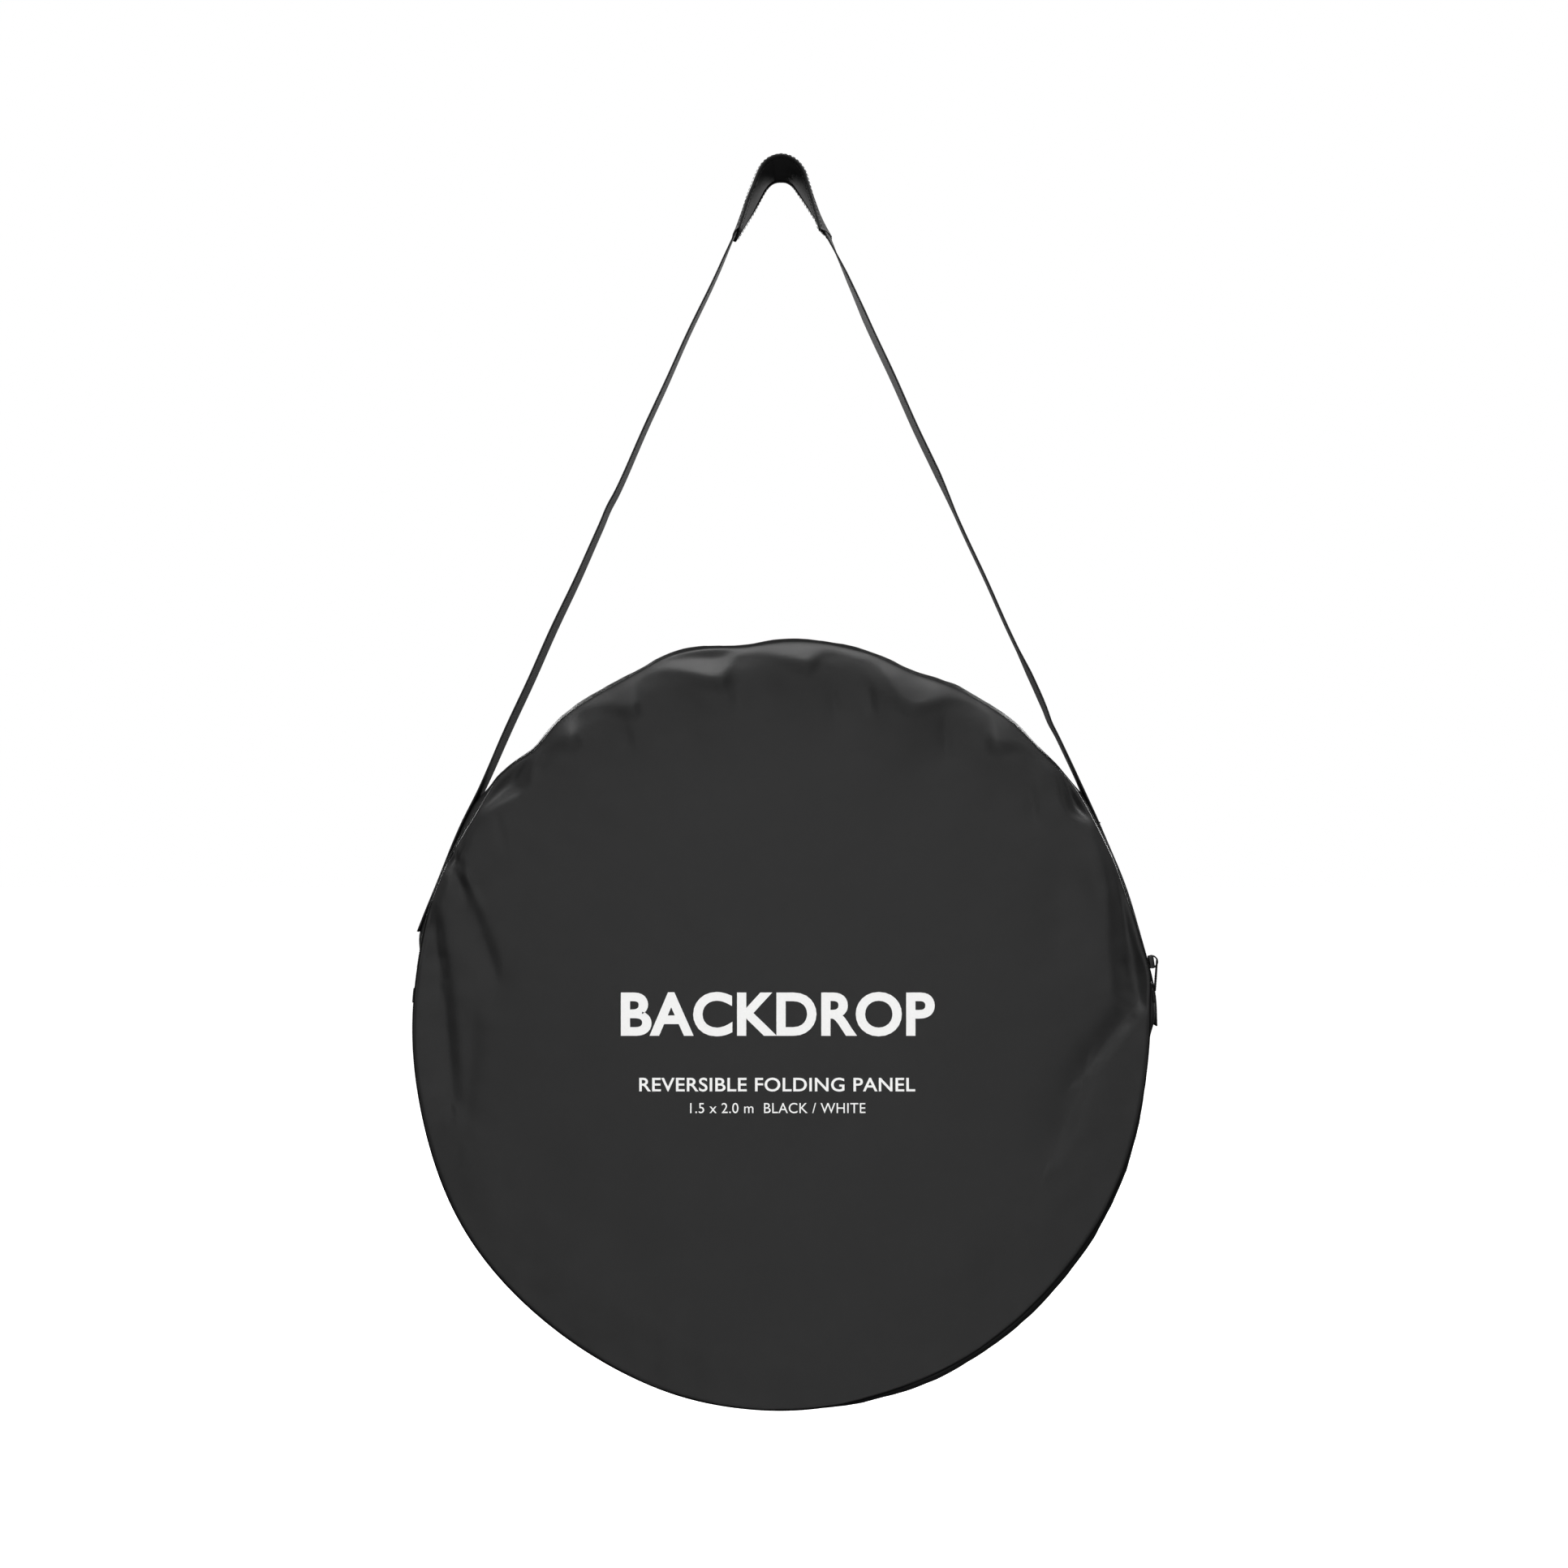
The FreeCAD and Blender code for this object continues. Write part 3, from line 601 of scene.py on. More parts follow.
frontCloth = {"columns": 640, "rollRows": 14, "rimRows": 36, "rimStep": 0.0020, "innerRows": 18,
              "wall": 0.0008}


def makeFrontCloth():
    columns = frontCloth["columns"]
    clock = np.arange(columns) * 360 / columns
    rollTurns = np.linspace(0, 1, frontCloth["rollRows"])
    rows = []
    centreRadius = rollAt(clock, 90)[0]
    rimDepth = frontCloth["rimRows"] * frontCloth["rimStep"]
    innerShares = np.linspace(0, 1, frontCloth["innerRows"], endpoint=False) ** 0.85
    for share in innerShares:
        rows.append(aroundBag(clock, (centreRadius - rimDepth) * share, np.full(columns, frontY)))
    for step in range(frontCloth["rimRows"]):
        inside = rimDepth - step * frontCloth["rimStep"]
        edgeY = rollAt(clock, 90)[1]
        y = frontY + (edgeY - frontY) * np.exp(-(inside / seams["faceCrest"]) ** 2)
        rows.append(aroundBag(clock, centreRadius - inside, y))
    for share in rollTurns:
        radius, y = rollAt(clock, 90 + (lastTurn(clock) - 90) * share)
        rows.append(aroundBag(clock, radius, y))
    points = np.array(rows)
    height = foldHeight(points[..., 0], points[..., 2] - bagZ) + billows(points)
    height += rimHeight(clock[None, :], np.hypot(points[..., 0], points[..., 2] - bagZ))
    seamEase = np.ones(len(rows))
    seamEase[-6:] = [0.85, 0.65, 0.45, 0.25, 0.1, 0.0]
    height *= seamEase[:, None]
    height[0] = height[0].mean()
    points = lifted(points, height)
    points[0] = points[0].mean(axis=0)
    flat = faceLengths(points)
    piece = clothGrid("frontCloth", points, flat, closed=True, flip=False, material=finishes["bagCloth"])
    mergeDoubles(piece)
    giveWall(piece, frontCloth["wall"])
    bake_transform(piece)
    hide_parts("front_panel_lower", "front_panel_upper")
    return piece


makeFrontCloth()
print("front cloth made")


# the gusset, the strip in front of the zip, and the rear cloth

gussetCloth = {"columns": 480, "rows": 30, "wall": 0.0007, "round": 2.3, "pressed": 7.0, "zipLift": 0.0004,
               "zipSide": 0.0036}


def gussetFront(clock):
    # the gusset starts at the front seam below the zip and at the rear tape beside it
    away = np.abs(signedClock(clock))
    beside = 1 - smoothStep(away, zipEnd + 0.3, zipEnd + 1.7)
    seamRadius, seamY = frontSeam(clock)
    radius = seamRadius * (1 - beside) + (zipRadius(clock) + gussetCloth["zipLift"]) * beside
    return radius, seamY * (1 - beside) + (zipY + gussetCloth["zipSide"]) * beside


def makeGusset():
    columns = gussetCloth["columns"]
    clock = np.arange(columns) * 360 / columns
    shares = (1 - np.cos(np.linspace(0, np.pi, gussetCloth["rows"]))) / 2
    startRadius, startY = gussetFront(clock)
    endRadius, endY = rearSeam(clock), rearY - 0.0012
    crest = gussetCrest(clock) - (startRadius + endRadius) / 2
    power = gussetCloth["round"] + (gussetCloth["pressed"] - gussetCloth["round"]) * np.maximum(
        strapShare(clock), openShare(clock))
    rows = []
    for share in shares:
        bulge = crest * (1 - np.abs(2 * share - 1) ** power)
        rows.append(aroundBag(clock, startRadius + (endRadius - startRadius) * share + bulge,
                              startY + (endY - startY) * share))
    points = np.array(rows)
    loose = (1 - strapShare(clock))[None, :]
    arc = arcOnRim(clock, points)
    wrinkle = np.stack([arc, points[..., 1] * 0.35, 0 * arc], axis=-1)
    ends = np.sin(np.pi * np.clip(shares, 0, 1))[:, None] ** 0.6
    height = (0.0011 * rough(wrinkle, 38, 5.2) + 0.0005 * rough(wrinkle, 95, 1.4)) * ends * loose
    joinEase = smoothStep(np.minimum(clock, 360 - clock), 0.0, 3.0)[None, :]
    points = lifted(points, height * joinEase)
    lengths = np.stack([np.concatenate([arc, arc[:, :1] + 2 * np.pi * bagRadius], axis=1),
                        np.concatenate([points[..., 1], points[:, :1, 1]], axis=1)], axis=-1)
    piece = clothGrid("gussetCloth", points, lengths, closed=True, flip=False, material=finishes["bagCloth"])
    giveWall(piece, gussetCloth["wall"])
    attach(piece, "bag")
    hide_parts("lower_gusset", "rear_gusset_strip")
    return piece


def zipArc(count):
    return np.linspace(-zipEnd + 0.05, zipEnd - 0.05, count)


def makeFrontStrip():
    clock = zipArc(420)
    seamRadius, seamY = frontSeam(clock)
    endRadius = zipRadius(clock) + gussetCloth["zipLift"]
    endY = zipY - gussetCloth["zipSide"]
    rows = []
    for share in np.linspace(0, 1, 7):
        radius = seamRadius + (endRadius - seamRadius) * share ** 0.8
        rows.append(aroundBag(clock, radius, seamY + (endY - seamY) * share))
    points = np.array(rows)
    arc = arcOnRim(clock, points)
    lengths = np.stack([arc, points[..., 1]], axis=-1)
    piece = clothGrid("frontStrip", points, lengths, material=finishes["bagCloth"])
    giveWall(piece, gussetCloth["wall"])
    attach(piece, "mouth_flap")
    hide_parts("front_gusset_strip")
    return piece


rearCloth = {"columns": 360, "rows": 34, "wall": 0.0008, "roll": 0.007, "sag": 0.0016}


def makeRearCloth():
    columns = rearCloth["columns"]
    clock = np.arange(columns) * 360 / columns
    shares = np.linspace(0, 1, rearCloth["rows"]) ** 0.8
    rows = []
    for share in shares:
        radius = rearSeam(clock) * share
        inside = rearSeam(clock) - radius
        edge = np.exp(-(inside / rearCloth["roll"]) ** 2)
        rows.append(aroundBag(clock, radius, rearY + 0.0004 - 0.0016 * edge))
    points = np.array(rows)
    stretched = points * np.array([1.0, 1.0, 0.6])
    height = rearCloth["sag"] * rough(stretched, 12, 6.5) + 0.0005 * rough(points, 60, 2.2)
    edge = smoothStep(shares, 0.7, 0.95)[:, None]
    height = (height + 0.0006 * np.cos(np.radians(clock) * 9)[None, :] * edge)
    height *= (1 - smoothStep(shares, 0.93, 1.0))[:, None]
    height[0] = height[0].mean()
    points = points + np.array([0, 1, 0]) * height[..., None]
    flat = faceLengths(points)
    piece = clothGrid("rearCloth", points, flat, closed=True, flip=True, material=finishes["bagCloth"])
    mergeDoubles(piece)
    giveWall(piece, rearCloth["wall"])
    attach(piece, "bag")
    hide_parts("rear_panel")
    return piece


makeGusset()
makeFrontStrip()
makeRearCloth()
print("gusset and rear cloth made")


# corded seams

piping = {"radius": 0.0008, "sides": 10, "columns": 540}


def cordRing(name, clock, radius, y, cord, closed):
    # a round cord that follows a seam, with the seam's own wander
    middle = aroundBag(clock, radius, y)
    outward = aroundBag(clock, np.ones_like(clock), 0 * clock) - np.array([0, 0, bagZ])
    outward[..., 1] = 0
    rows = []
    for side in range(piping["sides"] + 1):
        turn = 2 * math.pi * side / piping["sides"]
        rows.append(middle + cord * (math.cos(turn) * outward + math.sin(turn) * np.array([0, 1, 0])))
    points = np.array(rows)
    arc = np.radians(clock) * bagRadius
    if closed:
        arc = np.append(arc, arc[0] + 2 * np.pi * bagRadius)
    across = np.arange(len(rows)) * 2 * math.pi * cord / piping["sides"]
    lengths = np.stack(np.meshgrid(arc, across), axis=-1)
    piece = clothGrid(name, points, lengths, closed=closed, flip=True, material=finishes["binding"])
    return mergeDoubles(piece, 0.000002)


def makePiping():
    clock = np.arange(piping["columns"]) * 360 / piping["columns"]
    radius, y = frontSeam(clock)
    front = cordRing("frontPiping", clock, radius + 0.0003, y + 0.0002, piping["radius"], True)
    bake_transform(front)
    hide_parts("front_piping_lower", "front_piping_upper")
    rear = cordRing("rearPiping", clock, rearSeam(clock) + 0.0004, np.full_like(clock, rearY - 0.0013),
                    piping["radius"], True)
    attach(rear, "bag")
    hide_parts("rear_piping")


makePiping()


# the zip: tapes, two rows of teeth, the slider, its pull, and the squares over the ends

zipParts = {"pitch": 0.0017, "tooth": (0.0011, 0.0034, 0.0019), "bevel": 0.0003, "lift": 0.0008,
            "heads": 0.0015, "endTurn": 1.2, "tapeReach": 0.0085, "frontReach": 0.0052, "tapeGap": 0.0006,
            "tapeUnder": 0.0004, "tapeWall": 0.0006}


def makeTape(name, near, far, body, node):
    clock = zipArc(360)
    radius = zipRadius(clock) - zipParts["tapeUnder"]
    rows = [aroundBag(clock, radius, np.full_like(clock, near + (far - near) * share))
            for share in np.linspace(0, 1, 5)]
    points = np.array(rows)
    arc = arcOnRim(clock, points)
    piece = clothGrid(name, points, np.stack([arc, points[..., 1]], axis=-1), material=finishes["zipTape"])
    giveWall(piece, zipParts["tapeWall"])
    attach(piece, body)
    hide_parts(node)


def makeTeeth(name, side, shift, body, node):
    # the two rows are half a pitch apart, so that their heads pass each other
    reach = zipEnd - zipParts["endTurn"]
    length = 2 * math.radians(reach) * bagRadius
    count = int(length / zipParts["pitch"])
    tooth = bevelledBlock("tooth", zipParts["tooth"], (0, side * zipParts["heads"], 0), zipParts["bevel"], 1,
                          finishes["zipCoil"])
    places = []
    for index in range(count):
        clock = -zipEnd + zipParts["endTurn"] + (index + shift) * 2 * reach / count
        radius = float(zipRadius(clock)) + zipParts["lift"]
        angle = math.radians(clock)
        at = Matrix.Translation((radius * math.sin(angle), zipY, bagZ + radius * math.cos(angle)))
        places.append(at @ Matrix.Rotation(angle, 4, "Y"))
    piece = copiesOf(tooth, name, places)
    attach(piece, body)
    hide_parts(node)


makeTape("rearTape", zipY + zipParts["tapeGap"], zipY + zipParts["tapeReach"], "bag", "rear_zip_tape")
makeTape("frontTape", zipY - zipParts["tapeGap"], zipY - zipParts["frontReach"], "mouth_flap",
         "front_zip_tape")
makeTeeth("rearTeeth", 1, 0.0, "bag", "rear_zip_coil")
makeTeeth("frontTeeth", -1, 0.5, "mouth_flap", "front_zip_coil")

slider = {"plate": (0.0118, 0.0084, 0.0012), "hood": 0.0045, "bridge": (0.0042, 0.0011, 0.0046),
          "archWire": 0.0008, "restTurn": 2.0}


def onRim(piece, clock, radius):
    # place a piece that was modelled about the origin, outwards along Z
    angle = math.radians(clock)
    at = Matrix.Translation((radius * math.sin(angle), zipY, bagZ + radius * math.cos(angle)))
    piece.data.transform(at @ Matrix.Rotation(angle, 4, "Y"))
    piece.data.update()
    return piece


def taperPlate(plate, narrow):
    # pinch one end of a slider plate
    half = slider["plate"][0] / 2
    for vertex in plate.data.vertices:
        share = min(1.0, max(0.0, (vertex.co.x + half) / (2 * half)))
        vertex.co.y *= 1 - narrow * share ** 1.5


def makeSlider():
    sliderClock = zipEnd - slider["restTurn"]
    base = float(zipRadius(sliderClock)) + zipParts["lift"]
    pivot = Vector(joints["pull_swing"]["pos_m"])
    pivotRise = math.hypot(pivot.x, pivot.z - bagZ) - base
    lift = slider["plate"][2] / 2
    topZ = 0.0010 + 0.0005 + slider["hood"] / 2
    top = bevelledBlock("zipSlider", (*slider["plate"][:2], slider["hood"]), (0, 0, topZ), 0.0005, 2,
                        finishes["zipMetal"])
    under = bevelledBlock("underPlate", slider["plate"], (0, 0, -0.0010 - 0.0007 - lift), 0.0005, 2,
                          finishes["zipMetal"])
    taperPlate(top, 0.3)
    taperPlate(under, 0.3)
    bridge = bevelledBlock("bridge", slider["bridge"], (-0.0026, 0, 0), 0.0002, 1, finishes["zipMetal"])
    deselectAll()
    bpy.ops.mesh.primitive_torus_add(major_radius=pivotRise - topZ + 0.0004, minor_radius=slider["archWire"],
                                     major_segments=28, minor_segments=10, location=(0, 0, topZ),
                                     rotation=(math.pi / 2, 0, 0))
    arch = bpy.context.object
    bpy.ops.object.transform_apply(location=True, rotation=True, scale=True)
    editAll()
    bpy.ops.mesh.bisect(plane_co=(0, 0, topZ - 0.0001), plane_no=(0, 0, 1), clear_inner=True, use_fill=True)
    bpy.ops.object.mode_set(mode="OBJECT")
    for vertex in arch.data.vertices:
        vertex.co.y *= 1.5
    arch.data.materials.append(finishes["zipMetal"])
    shadeSmooth(arch.data)
    piece = joinPieces(top, under, bridge, arch)
    piece.name = "zipSlider"
    onRim(piece, sliderClock, base)
    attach(piece, "zip_slider")
    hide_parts("zip_slider")


pullTab = {"tuck": 0.15, "wall": 0.0012, "loopLength": 0.0085, "loopWidth": 0.0062, "gripLength": 0.021,
           "gripWidth": 0.0076}


def makePull():
    # a wire loop through the arch and a ridged grip, hanging straight down from the pivot
    pivot = Vector(joints["pull_swing"]["pos_m"])
    low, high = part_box("pull_tab")
    lean = math.atan2((low.x + high.x) / 2 - pivot.x, pivot.z - (low.z + high.z) / 2) - pullTab["tuck"]
    metal = finishes["zipMetal"]
    wall, width, length = pullTab["wall"], pullTab["loopWidth"], pullTab["loopLength"]
    bar = bevelledBlock("pullTab", (wall, width, wall), (0, 0, 0), wall * 0.4, 2, metal)
    sides = [bevelledBlock("side", (wall, wall, length),
                           (0, side * (width - wall) / 2, -length / 2 + wall / 2), wall * 0.35, 2, metal)
             for side in (-1, 1)]
    grip = bevelledBlock("grip", (wall, pullTab["gripWidth"], pullTab["gripLength"]),
                         (0, 0, -length - pullTab["gripLength"] / 2 + wall), wall * 0.45, 3, metal)
    ridges = [bevelledBlock("ridge", (wall * 1.5, pullTab["gripWidth"] * 0.7, 0.0009),
                            (0, 0, -length - 0.006 - 0.0024 * step), 0.0003, 2, metal) for step in range(5)]
    piece = joinPieces(bar, *sides, grip, *ridges)
    piece.name = "pullTab"
    piece.data.transform(Matrix.Translation(pivot) @ Matrix.Rotation(-lean, 4, "Y"))
    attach(piece, "pull_tab")
    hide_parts("pull_tab")


endTab = {"from": 2.0, "to": 4.2, "front": 0.0040, "deep": 0.0105, "lift": 0.0006, "crown": 0.0003,
          "press": 0.0008, "wall": 0.0011}


def makeEndTabs():
    # a folded square of webbing sewn over each end of the zip
    for side, name in ((-1, "endTabLeft"), (1, "endTabRight")):
        clock = side * np.linspace(zipEnd + endTab["from"], zipEnd + endTab["to"], 7)
        shares = np.linspace(0, 1, 9)
        rows = []
        for share in shares:
            seamRadius = gussetFront(clock)[0]
            y = frontY + endTab["front"] + share * endTab["deep"]
            swellUp = endTab["crown"] * math.sin(math.pi * share) + endTab["lift"]
            radius = np.maximum(seamRadius, gussetCrest(clock) - endTab["press"]) + swellUp
            rows.append(aroundBag(clock, radius, y))
        points = np.array(rows)
        arc = arcOnRim(clock, points)
        piece = clothGrid(name, points, np.stack([arc, points[..., 1]], axis=-1), flip=side < 0,
                          material=finishes["webbing"])
        giveWall(piece, endTab["wall"])
        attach(piece, "bag")
        if side < 0:
            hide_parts("zip_end_tabs")


makeSlider()
makePull()
makeEndTabs()
print("zip made")


# the shoulder strap, one length of webbing from the left tail over the top to the right tail

strap = {
    "lean": 24.5,
    "topRadius": 0.0215,
    "topX": -0.0020,
    "topZ": -0.0185,
    "wall": 0.0015,
    "step": 0.0045,
    # degrees of twist at distances from the top, left below zero
    "twist": [(-0.70, 0), (-0.66, -2), (-0.60, -3.2), (-0.49, -2.8), (-0.34, -0.6), (-0.24, 0.6),
              (-0.11, 3.1), (-0.082, 5.5), (-0.05, -2), (0, -7), (0.028, -5), (0.045, 0), (0.082, 10.5),
              (0.10, 6.5), (0.125, 2), (0.165, -1.5), (0.33, -1.5), (0.37, 3), (0.51, 3), (0.535, -0.3),
              (0.56, -0.5), (0.60, 2), (0.645, 2), (0.68, 0)],
    # small sideways kinks: distance from the top, length and size
    "kinks": [(-0.365, 0.012, 0.0009), (0.585, 0.010, -0.0009), (-0.21, 0.05, 0.0005), (0.27, 0.06, -0.0005)],
}


def throughPoints(points, perSpan=12):
    # a smooth line through given points
    points = np.asarray(points, float)
    ends = np.concatenate([[2 * points[0] - points[1]], points, [2 * points[-1] - points[-2]]])
    line = []
    for a, b, c, d in zip(ends, ends[1:], ends[2:], ends[3:]):
        for t in np.linspace(0, 1, perSpan, endpoint=False):
            line.append(0.5 * (2 * b + (c - a) * t + (2 * a - 5 * b + 4 * c - d) * t ** 2
                               + (3 * b - a - 3 * c + d) * t ** 3))
    line.append(points[-1])
    return np.array(line)


def strapLine():
    # the middle of the webbing in X and Z, evenly spaced, and each point's distance from the top
    lean = math.radians(strap["lean"])
    centre = np.array([strap["topX"], strap["topZ"]])
    turns = np.linspace(-(math.pi / 2 - lean), math.pi / 2 - lean, 25)
    arc = [centre + strap["topRadius"] * np.array([math.sin(t), math.cos(t)]) for t in turns]
    rim = {}
    for side, name in ((-1, "left"), (1, "right")):
        rim[side] = [np.array([side * r * math.sin(math.radians(c)), bagZ + r * math.cos(math.radians(c))])
                     for c, r in strapOnRim[name]]
    left = throughPoints(rim[-1][::-1])
    right = throughPoints(rim[1])
    leftLeg = [left[-1] + (arc[0] - left[-1]) * t for t in np.linspace(0, 1, 60)[1:-1]]
    rightLeg = [arc[-1] + (right[0] - arc[-1]) * t for t in np.linspace(0, 1, 60)[1:-1]]
    line = np.concatenate([left, leftLeg, arc, rightLeg, right])
    along = np.concatenate([[0], np.cumsum(np.linalg.norm(np.diff(line, axis=0), axis=1))])
    top = along[len(left) + len(leftLeg) + 12]
    stations = np.arange(0, along[-1], strap["step"])
    stations = np.append(stations, along[-1])
    even = np.stack([np.interp(stations, along, line[:, k]) for k in (0, 1)], axis=-1)
    for _ in range(3):
        even[1:-1] = 0.25 * even[:-2] + 0.5 * even[1:-1] + 0.25 * even[2:]
    return even, stations - top


strapPoints, strapAlong = strapLine()


def strapFrame(along):
    # the point, forward, sideways and outward directions of the webbing at a distance from the top
    x, z = (np.interp(along, strapAlong, strapPoints[:, k]) for k in (0, 1))
    ahead = [np.interp(along + 0.003, strapAlong, strapPoints[:, k]) for k in (0, 1)]
    behind = [np.interp(along - 0.003, strapAlong, strapPoints[:, k]) for k in (0, 1)]
    forward = Vector((ahead[0] - behind[0], 0, ahead[1] - behind[1])).normalized()
    outward = forward.cross(Vector((0, 1, 0)))
    twist = math.radians(float(np.interp(along, *zip(*strap["twist"]))))
    sideways = Vector((0, 1, 0)) * math.cos(twist) + outward * math.sin(twist)
    shift = sum(size * math.exp(-((along - at) / reach) ** 2) for at, reach, size in strap["kinks"])
    point = Vector((float(x), 0, float(z))) + outward * shift
    return point, forward, sideways, forward.cross(sideways)


def alongStrap(stations, section):
    # carry a section of (sideways, outward) places along the strap
    rows = []
    for station in stations:
        point, _, sideways, outward = strapFrame(float(station))
        rows.append([point + sideways * v + outward * n for v, n in section(float(station))])
    return np.array([[list(p) for p in row] for row in rows])


def makeStrap():
    across = np.linspace(-1, 1, 13) * webbingHalf

    def section(station):
        # the webbing is not quite flat: its edges wander a little
        wave = 0.0003 * math.sin(station * 61) + 0.0002 * math.sin(station * 23 + 1)
        return [(v, wave * (v / webbingHalf) ** 2) for v in across]

    points = alongStrap(strapAlong, section)
    lengths = np.stack(np.meshgrid(across, strapAlong), axis=-1)
    piece = clothGrid("strapWebbing", points, lengths, flip=True, material=finishes["webbing"])
    giveWall(piece, strap["wall"], 0)
    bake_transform(piece)
    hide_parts("strap_webbing", "strap_tail_left", "strap_tail_right", "strap_flex_left",
                "strap_flex_right")


stitch = {"length": 0.0026, "wide": 0.0006, "pitch": 0.0037}


def stitchPiece():
    return bevelledBlock("stitch", (stitch["length"], stitch["wide"], stitch["wide"] * 0.8), (0, 0, 0),
                         stitch["wide"] * 0.3, 1, finishes["thread"])


def stitchPlace(along, sidewaysAt, lift, turn=0.0):
    # where one stitch lies on the strap or its pad, turned from the strap's own direction
    point, forward, sideways, outward = strapFrame(along)
    frameAt = Matrix((forward, sideways, outward)).transposed().to_4x4()
    at = point + sideways * sidewaysAt + outward * lift
    return Matrix.Translation(at) @ frameAt @ Matrix.Rotation(turn, 4, "Z")


# each tail's tacks: degrees and radius between its two rows, and how they lie across the webbing
tack = {"left": (18.4, 0.348), "right": (32.9, 0.344), "end": 0.005, "edge": 0.0022, "steps": 24,
        "turns": (112, 68), "lift": 0.0002}


def makeAnchorTacks():
    # close zigzags across the webbing at both ends of each tail
    first, last = float(strapAlong[0]), float(strapAlong[-1])
    tailLeft, tailRight = (math.radians(turn) * radius for turn, radius in (tack["left"], tack["right"]))
    places = []
    for along in (first + tack["end"], first + tailLeft, last - tailRight, last - tack["end"]):
        for step in range(tack["steps"]):
            v = -webbingHalf + tack["edge"] + step * 2 * (webbingHalf - tack["edge"]) / (tack["steps"] - 1)
            turn = math.radians(tack["turns"][step % 2])
            places.append(stitchPlace(along, v, strap["wall"] / 2 + tack["lift"], turn))
    piece = copiesOf(stitchPiece(), "anchorTacks", places)
    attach(piece, "bag")
    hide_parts("anchor_stitching")


makeStrap()
makeAnchorTacks()
print("strap made")


# the shoulder pad: a soft cushion under the webbing and a cover whose edges fold under it

pad = {"half": 0.0350, "reach": 0.0815, "cushion": 0.0036, "under": 0.0010, "hem": 0.0310,
       "seamAt": -0.0085, "stations": 92}


def padWrinkle(station, v):
    # the underside gathers where it bends round the top
    bend = math.exp(-(station / 0.022) ** 2)
    gather = 0.0004 * math.sin(station * 1900 + 2.4 * math.sin(v * 90)) * bend
    loose = 0.0005 * noise.noise(Vector((station * 40, v * 60, 1.7)))
    return gather + loose


def makeCushion():
    stations = np.linspace(-pad["reach"] + 0.002, pad["reach"] - 0.002, pad["stations"])
    side = pad["half"] - 0.0008
    spread = np.linspace(-1, 1, 21)

    def section(station):
        end = min(1.0, (pad["reach"] - abs(station)) / 0.006) ** 0.5
        seam = 1 - 0.35 * math.exp(-((station - pad["seamAt"]) / 0.0016) ** 2)
        top = [(side * v, -pad["under"]) for v in spread]
        low = []
        for v in spread[::-1][1:-1]:
            thick = pad["cushion"] * end * seam + padWrinkle(station, v)
            low.append((side * v, -pad["under"] - thick * (1 - abs(v) ** 3.2)))
        return top + low

    points = alongStrap(stations, section)
    count = points.shape[1]
    around = np.linspace(0, 4 * side, count + 1)
    lengths = np.stack(np.meshgrid(around, stations), axis=-1)
    piece = clothGrid("padCushion", points, lengths, closed=True, flip=True, material=finishes["padUnder"])
    makeActive(piece)
    bpy.ops.object.mode_set(mode="EDIT")
    bpy.ops.mesh.select_all(action="DESELECT")
    bpy.ops.mesh.select_mode(type="EDGE")
    bpy.ops.mesh.select_non_manifold()
    bpy.ops.mesh.fill_holes(sides=0)
    bpy.ops.mesh.select_all(action="SELECT")
    bpy.ops.mesh.normals_make_consistent(inside=False)
    bpy.ops.object.mode_set(mode="OBJECT")
    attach(piece, "strap")
    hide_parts("pad_lining", "pad_foam")


coverSection = [(0.0300, -0.0036), (0.0325, -0.0034), (0.0345, -0.0026), (0.0352, -0.0016), (0.0345, -0.0006),
                (0.0300, 0.0002), (0.0245, 0.0008), (0.0200, 0.0016), (0.0120, 0.0019), (0.0, 0.0021)]


def makePadCover():
    stations = np.linspace(-pad["reach"], pad["reach"], pad["stations"])
    half = throughPoints(coverSection, 4)
    outlineOfCover = [(v, n) for v, n in half] + [(-v, n) for v, n in half[::-1][1:]]

    def section(station):
        wave = 0.0004 * math.sin(station * 130) + 0.0003 * math.sin(station * 57 + 2)
        return [(v + wave * (abs(v) / pad["half"]) ** 2, n + 0.4 * padWrinkle(station + 0.3, v))
                for v, n in outlineOfCover]

    points = alongStrap(stations, section)
    around = np.linspace(0, 0.082, points.shape[1])
    lengths = np.stack(np.meshgrid(around, stations), axis=-1)
    piece = clothGrid("padCover", points, lengths, flip=False, material=finishes["padCover"])
    giveWall(piece, 0.0007)
    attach(piece, "strap")
    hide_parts("pad_cover")


def makePadStitches():
    places = []
    for along in np.arange(-pad["reach"] + 0.004, pad["reach"] - 0.003, stitch["pitch"]):
        for side in (-1, 1):
            places.append(stitchPlace(float(along), side * pad["hem"], -0.0040))
            places.append(stitchPlace(float(along), side * pad["hem"], 0.0006))
    for along in (-pad["reach"] + 0.004, pad["seamAt"], pad["reach"] - 0.004):
        for v in np.arange(-pad["hem"], pad["hem"] + 0.001, stitch["pitch"]):
            lift = -pad["under"] - pad["cushion"] * (0.72 if along == pad["seamAt"] else 0.9) * (
                1 - abs(v / pad["half"]) ** 3.2) - 0.0002
            places.append(stitchPlace(along, float(v), lift, math.pi / 2))
    piece = copiesOf(stitchPiece(), "padStitches", places)
    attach(piece, "strap")
    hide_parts("pad_stitching")


makeCushion()
makePadCover()
makePadStitches()
print("pad made")


# the folded panel inside: the coiled edge sleeve and the two cloths

